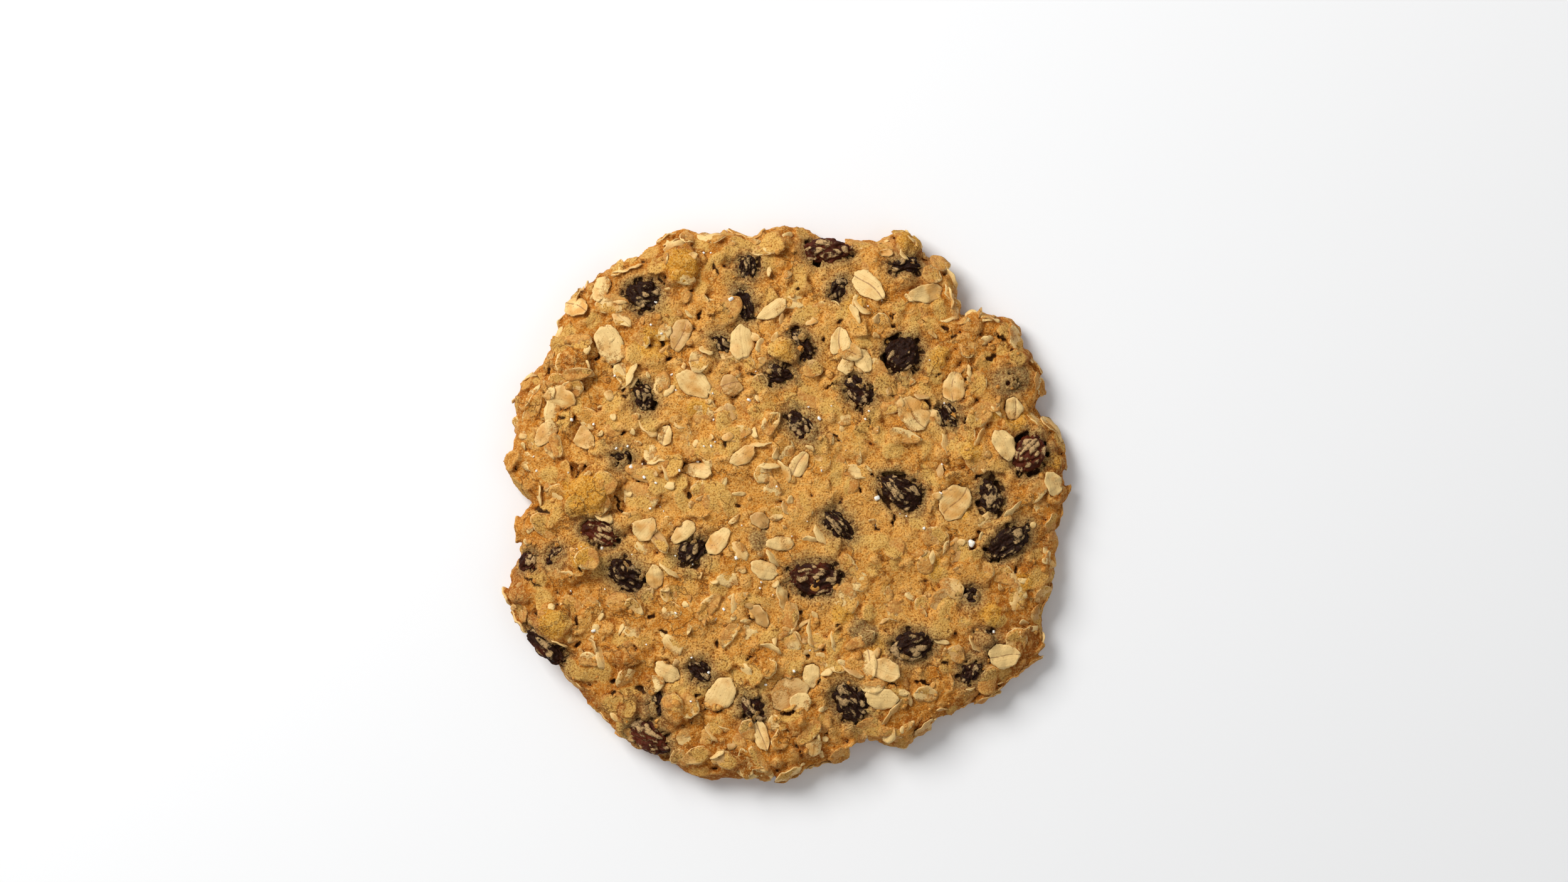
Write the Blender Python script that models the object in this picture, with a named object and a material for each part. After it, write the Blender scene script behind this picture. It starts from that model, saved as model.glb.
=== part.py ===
"""Oatmeal raisin cookie: one slab of baked dough with a lumpy crown, and the raisins
that sit in pockets in its top and rim. Metres, +Z up, resting on its flat underside.
The outline, the crown and the raisins follow named sizes in millimetres below."""

import math
import random

import bmesh
import bpy
from mathutils import Euler, Matrix, Vector, noise

MM = 0.001

# Driving dimensions, in millimetres
WIDTH = 127.0  # across the cookie, along X
MEAN_RADIUS = 62.8
CROWN_HEIGHT = 11.8  # dough height at the middle
SHOULDER_HEIGHT = 9.0  # dough height just inside the rim
EDGE_ROLL = 1.8  # how far the crown drops as it rolls over into the rim
UNDULATION = 0.75  # slow rise and fall of the crown
UNDULATION_LENGTH = 13.0
POCKET_GAP = 0.3  # clearance between a raisin and its pocket
FLATNESS = 0.64  # a raisin's thickness over its width
LEAST_FLOOR = 2.2  # dough left under the deepest raisin

RIM_LUMPS = 1.1  # how far the rim's lumps swell or sink
RIM_LUMP_LENGTH = 7.0

TOP_SHARE = 0.93  # the crown's share of the radius; the rim profile makes the rest
GRID_CELLS = 30
# Rim section from the crown down to the underside: share of the radius, share of the edge height
RIM_PROFILE = ((0.972, 0.82), (1.0, 0.52), (0.994, 0.22), (0.962, 0.0))

# Lobes and bites of the outline: degrees from +X, millimetres outward, half-width in degrees
RIM_LOBES = (
    (9, 1.2, 8),
    (27, 1.8, 4),
    (38, 3.2, 6),
    (57, 2.6, 4),
    (66, 4.4, 4),
    (88, 0.8, 4),
    (112, 2.6, 5),
    (131, 4.4, 13),
    (158, 3.0, 7),
    (198, 2.4, 3),
    (205, 3.2, 6),
    (237, 2.2, 8),
    (252, 2.4, 7),
    (327, 4.2, 7),
)
RIM_BITES = (
    (21, 3.2, 3.0),
    (48, 4.4, 4.0),
    (79, 2.2, 6),
    (96, 2.4, 3),
    (180, 5.6, 3.6),
    (189, 2.6, 4),
    (277, 3.4, 5),
    (288, 5.8, 6),
    (306, 2.6, 6),
    (354, 1.4, 6),
)

# Knobs of dough that stand above the crown: x, y, radius, height
KNOBS = (
    (28, 57.5, 4.2, 1.3),
    (0, 34.5, 3.6, 1.5),
    (-53, -27.5, 5.0, 1.4),
    (-36, -46.5, 4.0, 1.3),
    (-25, -46.5, 4.0, 1.2),
    (-59, -20.5, 3.4, 0.9),
    (-46, -12.5, 4.4, 1.4),
    (-37, -35, 3.6, 1.2),
    (3, -50, 5.0, 1.1),
    (52, 32, 4.0, 1.0),
    (-48, 31, 4.4, 1.2),
    (-24, 54, 5.5, 1.1),
    (-45, 2, 6.5, 1.5),
    (20, 44, 6.0, 0.9),
    (42, 12, 6.0, 1.0),
    (36, -2, 5.5, 0.9),
    (-8, 12, 6.0, 1.0),
    (-4, -12, 7.0, 0.8),
    (22, -38, 6.0, 1.0),
)

# Sunken places of the crown: x, y, radius, depth
HOLLOWS = (
    (46, 34, 3.6, 1.3),
    (-29, -27, 4.0, 1.0),
    (-33, -41, 3.6, 1.2),
    (28, -24, 8.0, 0.9),
    (-36, 1, 3.2, 0.9),
    (17, 12, 6.0, 0.8),
    (33, 40, 4.5, 0.8),
    (-25, 38, 5.0, 0.7),
    (-12, -32, 5.0, 0.8),
)

# Raisins: x, y, length, width, heading in degrees from +X, share of the raisin that shows
RAISINS = (
    (9.6, 57.2, 12.0, 6.3, 3, 0.9),
    (27.3, 53.6, 7.0, 4.8, 5, 0.4),
    (-8.5, 53.2, 6.0, 4.6, 80, 0.45),
    (-32, 47, 9.0, 7.5, -20, 0.6),
    (-9.6, 45, 9.0, 5.0, 110, 0.35),
    (12.2, 48.6, 5.5, 4.0, 60, 0.5),
    (3.6, 35.6, 8.5, 5.0, 115, 0.4),
    (-1.5, 29.2, 6.5, 5.0, 0, 0.55),
    (26.5, 33.6, 9.2, 8.5, 45, 0.85),
    (-32, 24, 7.0, 5.0, 100, 0.8),
    (-14.5, 36.2, 6.0, 3.8, -45, 0.4),
    (16.6, 25.3, 9.0, 6.0, -50, 0.45),
    (3.6, 17.6, 9.0, 5.5, -45, 0.4),
    (36.8, 20, 6.0, 4.5, -60, 0.45),
    (50.6, 27.6, 6.0, 4.5, 0, 0.25),
    (55.0, 11, 10.0, 8.2, 50, 0.85),
    (26, 2.5, 11.5, 7.2, -33, 0.9),
    (46.4, 1.6, 9.0, 5.6, -75, 0.75),
    (50.6, -8.6, 12.0, 6.8, 33, 0.85),
    (12, -5, 9.5, 5.5, -45, 0.5),
    (-42, -6.5, 10.0, 6.0, -25, 0.65),
    (-21, -10.7, 8.0, 6.0, 35, 0.55),
    (-35.8, -16.3, 10.5, 7.5, -35, 0.5),
    (6.7, -17, 12.6, 8.2, -5, 0.9),
    (-51.8, -12.2, 6.0, 4.2, 40, 0.35),
    (-58.2, -13.2, 5.0, 4.2, 80, 0.5),
    (-54.2, -32.4, 12.0, 5.5, -46, 0.6),
    (41.6, -21, 4.8, 4.2, 0, 0.35),
    (28.3, -32.3, 11.5, 7.2, 15, 0.6),
    (41.8, -37.7, 6.8, 5.0, 70, 0.45),
    (45.3, -30.6, 5.0, 4.0, -60, 0.35),
    (-19.5, -37.6, 7.5, 4.8, -38, 0.45),
    (-7.2, -46.2, 8.0, 6.0, -45, 0.4),
    (-30.8, -52.8, 12.0, 6.8, -38, 0.85),
    (14.6, -44.6, 11.0, 7.6, -55, 0.65),
    (-37.3, 10.5, 5.5, 4.5, -40, 0.3),
    (-29.3, -45.6, 6.0, 4.2, 85, 0.3),
)


def material(name, colour, roughness):
    """A Principled material; colour is linear RGB."""
    made = bpy.data.materials.new(name)
    made.use_nodes = True
    shader = made.node_tree.nodes["Principled BSDF"]
    shader.inputs["Base Color"].default_value = (*colour, 1.0)
    shader.inputs["Roughness"].default_value = roughness
    shader.inputs["Metallic"].default_value = 0.0
    made.diffuse_color = (*colour, 1.0)
    return made


def bell(distance, half_width):
    """1 at no distance, falling smoothly to nothing past twice the half-width."""
    return math.exp(-((distance / half_width) ** 2))


def turn_between(a, b):
    """The shorter way round from one bearing to another, in degrees."""
    return abs((a - b + 180.0) % 360.0 - 180.0)


def outline_radius(bearing):
    """The cookie's radius in millimetres at a bearing in degrees."""
    radius = MEAN_RADIUS
    for at, out, half_width in RIM_LOBES:
        radius += out * bell(turn_between(bearing, at), half_width)
    for at, depth, half_width in RIM_BITES:
        radius -= depth * bell(turn_between(bearing, at), half_width)
    return radius


def crown_height(x, y):
    """The height of the dough's top in millimetres."""
    share = math.hypot(x, y) / outline_radius(math.degrees(math.atan2(y, x)))
    height = SHOULDER_HEIGHT + (CROWN_HEIGHT - SHOULDER_HEIGHT) * (1.0 - share**2.4)
    height -= EDGE_ROLL * share**12
    place = Vector((x, y, 4.0)) / UNDULATION_LENGTH
    height += UNDULATION * noise.noise(place)
    for kx, ky, radius, rise in KNOBS:
        height += rise * bell(math.hypot(x - kx, y - ky), radius)
    for hx, hy, radius, depth in HOLLOWS:
        height -= depth * bell(math.hypot(x - hx, y - hy), radius)
    return height


def disc_place(u, v):
    """Takes a point of the square -1..1 to the unit disc, keeping areas: share, bearing."""
    if u == 0.0 and v == 0.0:
        return 0.0, 0.0
    if abs(u) > abs(v):
        share = u
        angle = 45.0 * v / u
    else:
        share = v
        angle = 90.0 - 45.0 * u / v
    if share < 0.0:
        angle += 180.0
    return abs(share), angle


def rim_point(bearing, radius_share, height):
    """A point at a share of the outline's radius, in millimetres."""
    radius = outline_radius(bearing) * radius_share
    turn = math.radians(bearing)
    return Vector((radius * math.cos(turn), radius * math.sin(turn), height))


def lumpy(point):
    """Moves a point of the rim in or out by the dough's lumps, by less near the underside."""
    swell = RIM_LUMPS * noise.noise(point / RIM_LUMP_LENGTH)
    swell *= min(1.0, point.z / (SHOULDER_HEIGHT / 2.0))
    outward = Vector((point.x, point.y, 0.0)).normalized()
    return point + outward * swell


def dough_mesh():
    """The crown as a grid drawn out to the outline, a rim of rings below it, a flat base."""
    shape = bmesh.new()
    bmesh.ops.create_grid(shape, x_segments=GRID_CELLS, y_segments=GRID_CELLS, size=1.0)
    for vert in shape.verts:
        share, bearing = disc_place(vert.co.x, vert.co.y)
        spot = rim_point(bearing, share * TOP_SHARE, 0.0)
        vert.co = (spot.x, spot.y, crown_height(spot.x, spot.y))

    edge = [e for e in shape.edges if e.is_boundary]
    edge_height = {}
    for vert in {v for e in edge for v in e.verts}:
        bearing = math.degrees(math.atan2(vert.co.y, vert.co.x))
        edge_height[round(bearing, 3)] = vert.co.z
    for radius_share, height_share in RIM_PROFILE:
        grown = bmesh.ops.extrude_edge_only(shape, edges=edge)["geom"]
        edge = [g for g in grown if isinstance(g, bmesh.types.BMEdge)]
        for vert in (g for g in grown if isinstance(g, bmesh.types.BMVert)):
            bearing = math.degrees(math.atan2(vert.co.y, vert.co.x))
            height = edge_height[round(bearing, 3)] * height_share
            vert.co = lumpy(rim_point(bearing, radius_share, height))
    bmesh.ops.edgeloop_fill(shape, edges=[e for e in edge if e.is_boundary])
    bmesh.ops.recalc_face_normals(shape, faces=shape.faces)
    return shape


def raisin_mesh(length, width, number, grown=0.0):
    """A wrinkled oval about the origin, lying along X; grown moves its skin outward."""
    shape = bmesh.new()
    bmesh.ops.create_icosphere(shape, subdivisions=2, radius=0.5)
    thickness = width * FLATNESS
    for vert in shape.verts:
        way = vert.co.normalized()
        wrinkle = 0.10 * noise.noise(way * 1.9 + Vector((number * 3.7, 0.0, 0.0)))
        crease = 0.12 * bell(way.y - 0.18 * math.sin(3.0 * way.x + number), 0.3)
        crease *= max(way.z, 0.0)
        vert.co *= 1.0 + wrinkle - crease
        vert.co.x *= length
        vert.co.y *= width * (1.0 - 0.16 * way.x * math.sin(number))
        vert.co.z *= thickness
    shape.normal_update()
    for vert, normal in [(v, v.normal.copy()) for v in shape.verts]:
        vert.co += normal * grown
    return shape


def finished(name, shape, look, collection):
    """Takes a shape in millimetres to an object in metres with one smooth material."""
    mesh = bpy.data.meshes.new(name)
    bmesh.ops.scale(shape, vec=(MM, MM, MM), verts=shape.verts)
    shape.to_mesh(mesh)
    shape.free()
    mesh.materials.append(look)
    mesh.shade_smooth()
    mesh.set_sharp_from_angle(angle=math.radians(50))
    made = bpy.data.objects.new(name, mesh)
    collection.objects.link(made)
    return made


def raisin_place(number, raisin):
    """Where a raisin lies: sunk in the crown by the share of it that is covered, and tipped."""
    x, y, length, width, heading, shows = raisin
    thickness = width * FLATNESS
    proud = thickness * (0.14 + 0.30 * shows)
    height = crown_height(x, y) + proud - thickness / 2.0
    height = max(height, LEAST_FLOOR + thickness / 2.0)
    dice = random.Random(number)
    tip = math.radians(dice.uniform(-9.0, 9.0))
    roll = math.radians(dice.uniform(-12.0, 12.0))
    turn = Euler((roll, tip, math.radians(heading))).to_matrix().to_4x4()
    return Matrix.Translation(Vector((x, y, height)) * MM) @ turn


def add_raisins(look, scene_collection, cutters):
    """One object for each raisin, and a slightly larger hidden one that cuts its pocket."""
    raisins = []
    for number, raisin in enumerate(RAISINS, start=1):
        length, width = raisin[2], raisin[3]
        place = raisin_place(number, raisin)
        name = f"raisin_{number:02d}"
        made = finished(name, raisin_mesh(length, width, number), look, scene_collection)
        made.matrix_world = place
        raisins.append(made)
        pocket = raisin_mesh(length, width, number, grown=1.2 * POCKET_GAP)
        cutter = finished(f"pocket_{number:02d}", pocket, look, cutters)
        cutter.matrix_world = place
        cutter.hide_render = True
        cutter.display_type = "WIRE"
    return raisins


def middle_of(objects):
    """The middle of the objects' box seen from above, in metres."""
    corners = [o.matrix_world @ v.co for o in objects for v in o.data.vertices]
    xs = [c.x for c in corners]
    ys = [c.y for c in corners]
    return Vector(((min(xs) + max(xs)) / 2.0, (min(ys) + max(ys)) / 2.0, 0.0))


def width_of(obj):
    xs = [v.co.x for v in obj.data.vertices]
    return max(xs) - min(xs)


def main():
    for old in list(bpy.data.objects):
        bpy.data.objects.remove(old)
    scene_collection = bpy.context.scene.collection
    cutters = bpy.data.collections.new("pockets")
    scene_collection.children.link(cutters)

    crust = material("baked_dough", (0.497, 0.227, 0.052), 0.8)
    skin = material("raisin_skin", (0.022, 0.009, 0.007), 0.45)

    dough = finished("dough", dough_mesh(), crust, scene_collection)
    raisins = add_raisins(skin, scene_collection, cutters)
    bpy.context.view_layer.update()

    # The whole cookie is centred on the origin and drawn to its stated width
    stretch = WIDTH * MM / width_of(dough)
    middle = middle_of([dough, *raisins])
    settle = Matrix.Diagonal((stretch, stretch, 1.0, 1.0)) @ Matrix.Translation(-middle)
    for obj in (dough, *raisins, *cutters.objects):
        obj.data.transform(settle @ obj.matrix_world)
        obj.matrix_world = Matrix.Identity(4)

    hollowing = dough.modifiers.new("raisin_pockets", "BOOLEAN")
    hollowing.operation = "DIFFERENCE"
    hollowing.operand_type = "COLLECTION"
    hollowing.collection = cutters
    hollowing.solver = "EXACT"


main()
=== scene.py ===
# %% [markdown]
# # Oatmeal raisin cookie
# This lesson dresses a plain solid cookie as a baked one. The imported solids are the
# fixed frame: a slab called dough, and a solid for each raisin. Each visible piece
# below is built from those solids, so it lies where they say.

# %% Load the frame
import copy
import math
import random

import bmesh
import bpy
import numpy as np
from mathutils import Matrix, Vector, noise
from mathutils.bvhtree import BVHTree
from mathutils.kdtree import KDTree


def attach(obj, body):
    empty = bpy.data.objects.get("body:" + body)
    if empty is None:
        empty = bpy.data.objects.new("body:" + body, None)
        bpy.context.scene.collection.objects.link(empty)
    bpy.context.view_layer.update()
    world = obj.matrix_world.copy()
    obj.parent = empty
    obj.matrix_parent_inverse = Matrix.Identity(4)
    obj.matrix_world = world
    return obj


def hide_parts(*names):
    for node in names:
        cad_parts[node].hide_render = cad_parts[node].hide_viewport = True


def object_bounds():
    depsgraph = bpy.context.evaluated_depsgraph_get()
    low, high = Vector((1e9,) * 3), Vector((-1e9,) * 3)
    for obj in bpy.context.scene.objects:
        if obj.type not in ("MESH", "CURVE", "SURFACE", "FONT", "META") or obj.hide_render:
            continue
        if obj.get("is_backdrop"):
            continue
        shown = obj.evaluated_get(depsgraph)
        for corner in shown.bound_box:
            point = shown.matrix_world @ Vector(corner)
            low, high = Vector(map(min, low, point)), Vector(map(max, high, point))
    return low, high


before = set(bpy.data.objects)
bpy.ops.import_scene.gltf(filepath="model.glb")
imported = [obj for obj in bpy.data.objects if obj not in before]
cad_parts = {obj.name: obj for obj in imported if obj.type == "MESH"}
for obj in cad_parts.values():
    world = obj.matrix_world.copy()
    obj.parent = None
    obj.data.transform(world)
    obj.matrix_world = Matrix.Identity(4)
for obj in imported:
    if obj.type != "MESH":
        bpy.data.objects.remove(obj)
cad_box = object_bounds()
raisin_nodes = sorted(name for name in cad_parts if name.startswith("raisin_"))
MM = 0.001
print(len(raisin_nodes), "raisins in the frame")

# %% [markdown]
# ## Table, light and camera
# The cookie lies on a pale table and the camera looks straight down on it. A long lens
# keeps the rim from leaning outwards. One large lamp at the upper left rakes across
# the crumb, so that each lump throws a soft shadow to the lower right, and a bright
# surround fills the shadows.

# %% Camera
LENS = 85.0
SENSOR = 36.0
VIEW_WIDTH = 353.6 * MM  # what the frame spans at the height of the crumb
VIEW_MIDDLE = Vector((-0.64, 14.07)) * MM
CRUMB_HEIGHT = 10 * MM

camera_data = bpy.data.cameras.new("overhead")
camera_data.lens = LENS
camera_data.sensor_width = SENSOR
camera = bpy.data.objects.new("overhead", camera_data)
bpy.context.scene.collection.objects.link(camera)
camera_height = CRUMB_HEIGHT + VIEW_WIDTH * LENS / SENSOR
camera.location = (*VIEW_MIDDLE, camera_height)
bpy.context.scene.camera = camera
bpy.context.scene.view_settings.view_transform = "Standard"
print("camera at", round(camera_height, 3), "m")


# %% Lamps
def lamp(name, place, size, power):
    """A square area lamp that looks at the cookie."""
    data = bpy.data.lights.new(name, "AREA")
    data.size = size
    data.energy = power
    made = bpy.data.objects.new(name, data)
    bpy.context.scene.collection.objects.link(made)
    made.location = place
    made.rotation_euler = (-Vector(place)).to_track_quat("-Z", "Y").to_euler()
    return made


lamp("window", (-0.62, 0.58, 0.80), 0.62, 14.6)
lamp("far_wall", (0.9, -0.5, 0.9), 1.0, 1.6)
surround = bpy.data.worlds.new("surround")
surround.use_nodes = True
surround.node_tree.nodes["Background"].inputs["Color"].default_value = (0.98, 0.99, 1.0, 1.0)
surround.node_tree.nodes["Background"].inputs["Strength"].default_value = 0.34
bpy.context.scene.world = surround

# %% [markdown]
# ## Writing shaders as sums
# A material is a tree of nodes. Wiring each Math node by hand hides the idea, so this
# small class wraps a socket: adding or multiplying two wrapped sockets adds the Math
# node that does it. Anything else comes from its node method.


# %% Shader maths
class Wire:
    """A node's output, with operators that add Math nodes."""

    def __init__(self, tree, socket):
        self.tree = tree
        self.socket = socket

    def node(self, kind, settings=None, output=0, **inputs):
        """Adds a node: its settings first, then a value or a wire for each named socket."""
        made = self.tree.nodes.new(kind)
        for name, value in (settings or {}).items():
            if name == "stops":
                self.set_stops(made.color_ramp, value)
            else:
                setattr(made, name, value)
        for name, value in inputs.items():
            number = name[1:] if name.startswith("_") else ""
            key = int(number) if number.isdigit() else name.replace("_", " ")
            if isinstance(value, Wire):
                self.tree.links.new(value.socket, made.inputs[key])
            else:
                made.inputs[key].default_value = value
        return Wire(self.tree, made.outputs[output])

    def set_stops(self, ramp, stops):
        while len(ramp.elements) < len(stops):
            ramp.elements.new(1.0)
        for element, (position, colour) in zip(ramp.elements, stops):
            element.position = position
            element.color = colour

    def math(self, operation, first, second=0.0):
        return self.node("ShaderNodeMath", {"operation": operation}, _0=first, _1=second)

    def __add__(self, other):
        return self.math("ADD", self, other)

    def __radd__(self, other):
        return self.math("ADD", other, self)

    def __sub__(self, other):
        return self.math("SUBTRACT", self, other)

    def __rsub__(self, other):
        return self.math("SUBTRACT", other, self)

    def __mul__(self, other):
        return self.math("MULTIPLY", self, other)

    def __rmul__(self, other):
        return self.math("MULTIPLY", other, self)

    def step(self, low, high):
        """0 below low, 1 above high and smooth between."""
        settings = {"interpolation_type": "SMOOTHSTEP"}
        return self.node("ShaderNodeMapRange", settings, Value=self, From_Min=low, From_Max=high)


def tint(red, green, blue):
    """A screen colour of 0 to 255 as the linear colour that a socket takes."""
    shares = [c / 255.0 for c in (red, green, blue)]
    linear = [c / 12.92 if c <= 0.04045 else ((c + 0.055) / 1.055) ** 2.4 for c in shares]
    return (*linear, 1.0)


def blended(first, second, share, how="MIX"):
    """Two colours, wires or values, mixed by a share."""
    wire = share if isinstance(share, Wire) else first
    settings = {"data_type": "RGBA", "blend_type": how, "clamp_factor": True}
    return wire.node("ShaderNodeMix", settings, output=2, _0=share, _6=first, _7=second)


def new_material(name, roughness):
    """A material, its Principled shader and a wire to start from: the Object coordinates."""
    made = bpy.data.materials.new(name)
    made.use_nodes = True
    shader = made.node_tree.nodes["Principled BSDF"]
    shader.inputs["Roughness"].default_value = roughness
    start = Wire(made.node_tree, made.node_tree.nodes.new("ShaderNodeTexCoord").outputs["Object"])
    return made, shader, start


def feed(shader, name, wire):
    wire.tree.links.new(wire.socket, shader.inputs[name])


def grain(place, size, detail=2.0, roughness=0.5):
    """Noise of 0 to 1 whose blobs are about the given size in millimetres."""
    return place.node(
        "ShaderNodeTexNoise", Vector=place, Scale=1.0 / (size * MM), Detail=detail, Roughness=roughness
    )


def stored(place, name):
    """A number that the mesh holds at each vertex."""
    settings = {"attribute_name": name, "attribute_type": "GEOMETRY"}
    return place.node("ShaderNodeAttribute", settings, output=2)


def crack_distance(place, spacing, sway):
    """How many millimetres away the nearest of a net of winding cracks is."""
    swayed = place.node(
        "ShaderNodeTexNoise", output=1, Vector=place, Scale=2.5 / (spacing * MM), Detail=4.0, Roughness=0.6
    )
    settings = {"operation": "MULTIPLY_ADD"}
    moved = place.node("ShaderNodeVectorMath", settings, _0=swayed, _1=(sway * MM,) * 3, _2=place)
    net = {"feature": "DISTANCE_TO_EDGE"}
    return place.node("ShaderNodeTexVoronoi", net, Vector=moved, Scale=1.0 / (spacing * MM)) * spacing


def bumps(height, depth, strength=1.0):
    """A bump whose height of 0 to 1 stands for the given depth in millimetres."""
    return height.node("ShaderNodeBump", Strength=strength, Distance=depth * MM, Height=height)

# %% [markdown]
# ## Helpers for shapes
# The crumb, the oats and the raisins all start as bmesh shapes. Lengths below are in
# millimetres, and a shape becomes metres when it becomes a piece. Thousands of
# vertices are moved at once with numpy, which is much quicker than a loop over them.


# %% From a shape to a piece
TOP_LIMIT = cad_box[1][2] / MM + 0.3  # nothing stands higher than this, in millimetres


def as_piece(name, shape, look):
    """Takes a bmesh in millimetres to an object in metres that rides on the cookie."""
    for vert in shape.verts:
        vert.co.z = min(max(vert.co.z, 0.0), TOP_LIMIT)
    bmesh.ops.scale(shape, vec=(MM, MM, MM), verts=shape.verts)
    mesh = bpy.data.meshes.new(name)
    shape.to_mesh(mesh)
    shape.free()
    mesh.materials.append(look)
    mesh.shade_smooth()
    made = bpy.data.objects.new(name, mesh)
    bpy.context.scene.collection.objects.link(made)
    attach(made, "root")
    return made


def vertex_places(mesh):
    """The vertices' places in millimetres, one row each."""
    flat = np.empty(len(mesh.vertices) * 3, np.float32)
    mesh.vertices.foreach_get("co", flat)
    return flat.reshape(-1, 3).astype(float) / MM


def vertex_normals(mesh):
    flat = np.empty(len(mesh.vertices) * 3, np.float32)
    mesh.vertex_normals.foreach_get("vector", flat)
    return flat.reshape(-1, 3).astype(float)


def put_places(mesh, places):
    mesh.vertices.foreach_set("co", (places * MM).astype(np.float32).ravel())
    mesh.update()


def store(mesh, name, numbers):
    """Keeps a number at each vertex, for a material to read."""
    held = mesh.attributes.get(name) or mesh.attributes.new(name, "FLOAT", "POINT")
    held.data.foreach_set("value", np.asarray(numbers, np.float32))


# %% Random fields
def wander(places, length, octaves=2, seed=0):
    """Fractal noise, about -1 to 1, with lumps about the given length in millimetres."""
    shifted = (places / length + seed * 17.31).tolist()
    return np.array([noise.fractal(place, 1.0, 2.0, octaves) for place in shifted])


def cells(places, size, seed=0):
    """Distances to the nearest two points of a scatter, as shares of its spacing."""
    shifted = (places / size + seed * 9.73).tolist()
    near = np.array([noise.voronoi(place)[0][:2] for place in shifted])
    return near[:, 0], near[:, 1]


def ease(low, high, numbers):
    """0 up to low, 1 past high and smooth between. Low may be the greater."""
    share = np.clip((numbers - low) / (high - low), 0.0, 1.0)
    return share * share * (3.0 - 2.0 * share)


# %% [markdown]
# ## The dough's skin
# The solid dough has a pocket for each raisin. Baked dough closes round a raisin and
# climbs over its edges, so the skin starts from the dough and the raisins together: a
# voxel remesh welds them into one even closed surface. A few rounds of smoothing then
# take away the solid's facets, which leaves a calm loaf to put the crumb on. A raisin
# that mostly shows goes in a little small, so that a dark groove is left round it.

# %% Weld the dough and its raisins
LOAF_VOXEL = 0.47
# How much of each raisin shows, the bearing of its barer side and how red its skin is
RAISIN_LOOKS = (
    (0.95, 90, 0.8), (0.62, 270, 0.2), (0.7, 60, 0.0), (0.78, 100, 0.0), (0.55, 290, 0.1),
    (0.66, 240, 0.0), (0.6, 10, 0.2), (0.75, 265, 0.3), (1.0, 225, 0.3), (0.95, 200, 0.0),
    (0.6, 300, 0.0), (0.66, 200, 0.5), (0.55, 120, 0.4), (0.6, 250, 0.1), (0.35, 30, 0.5),
    (0.98, 250, 0.9), (1.0, 200, 0.3), (0.9, 120, 0.0), (0.98, 30, 0.1), (0.66, 20, 0.2),
    (0.8, 260, 0.9), (0.72, 200, 0.0), (0.66, 225, 0.0), (1.0, 180, 0.6), (0.5, 150, 0.6),
    (0.7, 190, 0.7), (0.85, 215, 0.5), (0.5, 90, 0.0), (0.85, 150, 0.2), (0.6, 300, 0.5),
    (0.45, 120, 0.4), (0.65, 190, 0.3), (0.62, 210, 0.4), (0.95, 240, 0.8), (0.85, 170, 0.1),
    (0.4, 200, 0.0), (0.42, 30, 0.3),
)


def cad_shape(name, growth=0.0):
    """A frame solid in millimetres with its loose triangles merged and its skin moved out."""
    shape = bmesh.new()
    shape.from_mesh(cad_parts[name].data)
    bmesh.ops.scale(shape, vec=(1 / MM, 1 / MM, 1 / MM), verts=shape.verts)
    bmesh.ops.remove_doubles(shape, verts=shape.verts, dist=0.001)
    shape.normal_update()
    for vert, normal in [(v, v.normal.copy()) for v in shape.verts]:
        vert.co += normal * growth
    return shape


def welded(shape, voxel, rounds):
    """The skin round everything in a bmesh in millimetres, evenly meshed and smoothed."""
    bmesh.ops.scale(shape, vec=(MM, MM, MM), verts=shape.verts)
    mesh = bpy.data.meshes.new("skin")
    shape.to_mesh(mesh)
    shape.free()
    holder = bpy.data.objects.new("skin", mesh)
    bpy.context.scene.collection.objects.link(holder)
    weld = holder.modifiers.new("weld", "REMESH")
    weld.mode = "VOXEL"
    weld.voxel_size = voxel * MM
    calm = holder.modifiers.new("calm", "SMOOTH")
    calm.factor = 0.5
    calm.iterations = rounds
    graph = bpy.context.evaluated_depsgraph_get()
    made = bpy.data.meshes.new_from_object(holder.evaluated_get(graph))
    bpy.data.objects.remove(holder)
    return made


def dough_and_fruit():
    """The dough with all its raisins. One that shows is smaller than it is, so that a
    groove is left round it."""
    everything = bmesh.new()
    growths = [0.5 - 1.4 * shows for shows, _, _ in RAISIN_LOOKS]
    for name, growth in zip(["dough", *raisin_nodes], [0.0, *growths]):
        part = cad_shape(name, growth)
        held = bpy.data.meshes.new("part")
        part.to_mesh(held)
        part.free()
        everything.from_mesh(held)
        bpy.data.meshes.remove(held)
    return everything


loaf_mesh = welded(dough_and_fruit(), LOAF_VOXEL, 9)
loaf_places = vertex_places(loaf_mesh)
loaf_normals = vertex_normals(loaf_mesh)
print(len(loaf_mesh.polygons), "faces on the loaf", loaf_places.min(0), loaf_places.max(0))

# %% [markdown]
# ## Crumb
# Oat dough is never smooth: swollen oats push it up in lumps of 5 to 8 mm, drier dough
# breaks into clods of 2 to 3 mm towards the rim, and steam leaves cracks and pits. The
# relief below is one function of place, so the same lumps carry the oats later.

# %% Lumps, clods and cracks
CALM_MIDDLE = (2.0, -16.0)  # the smoothest stretch of the crown
UNDERSIDE = -0.6  # a normal that points down more than this is on the underside

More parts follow.
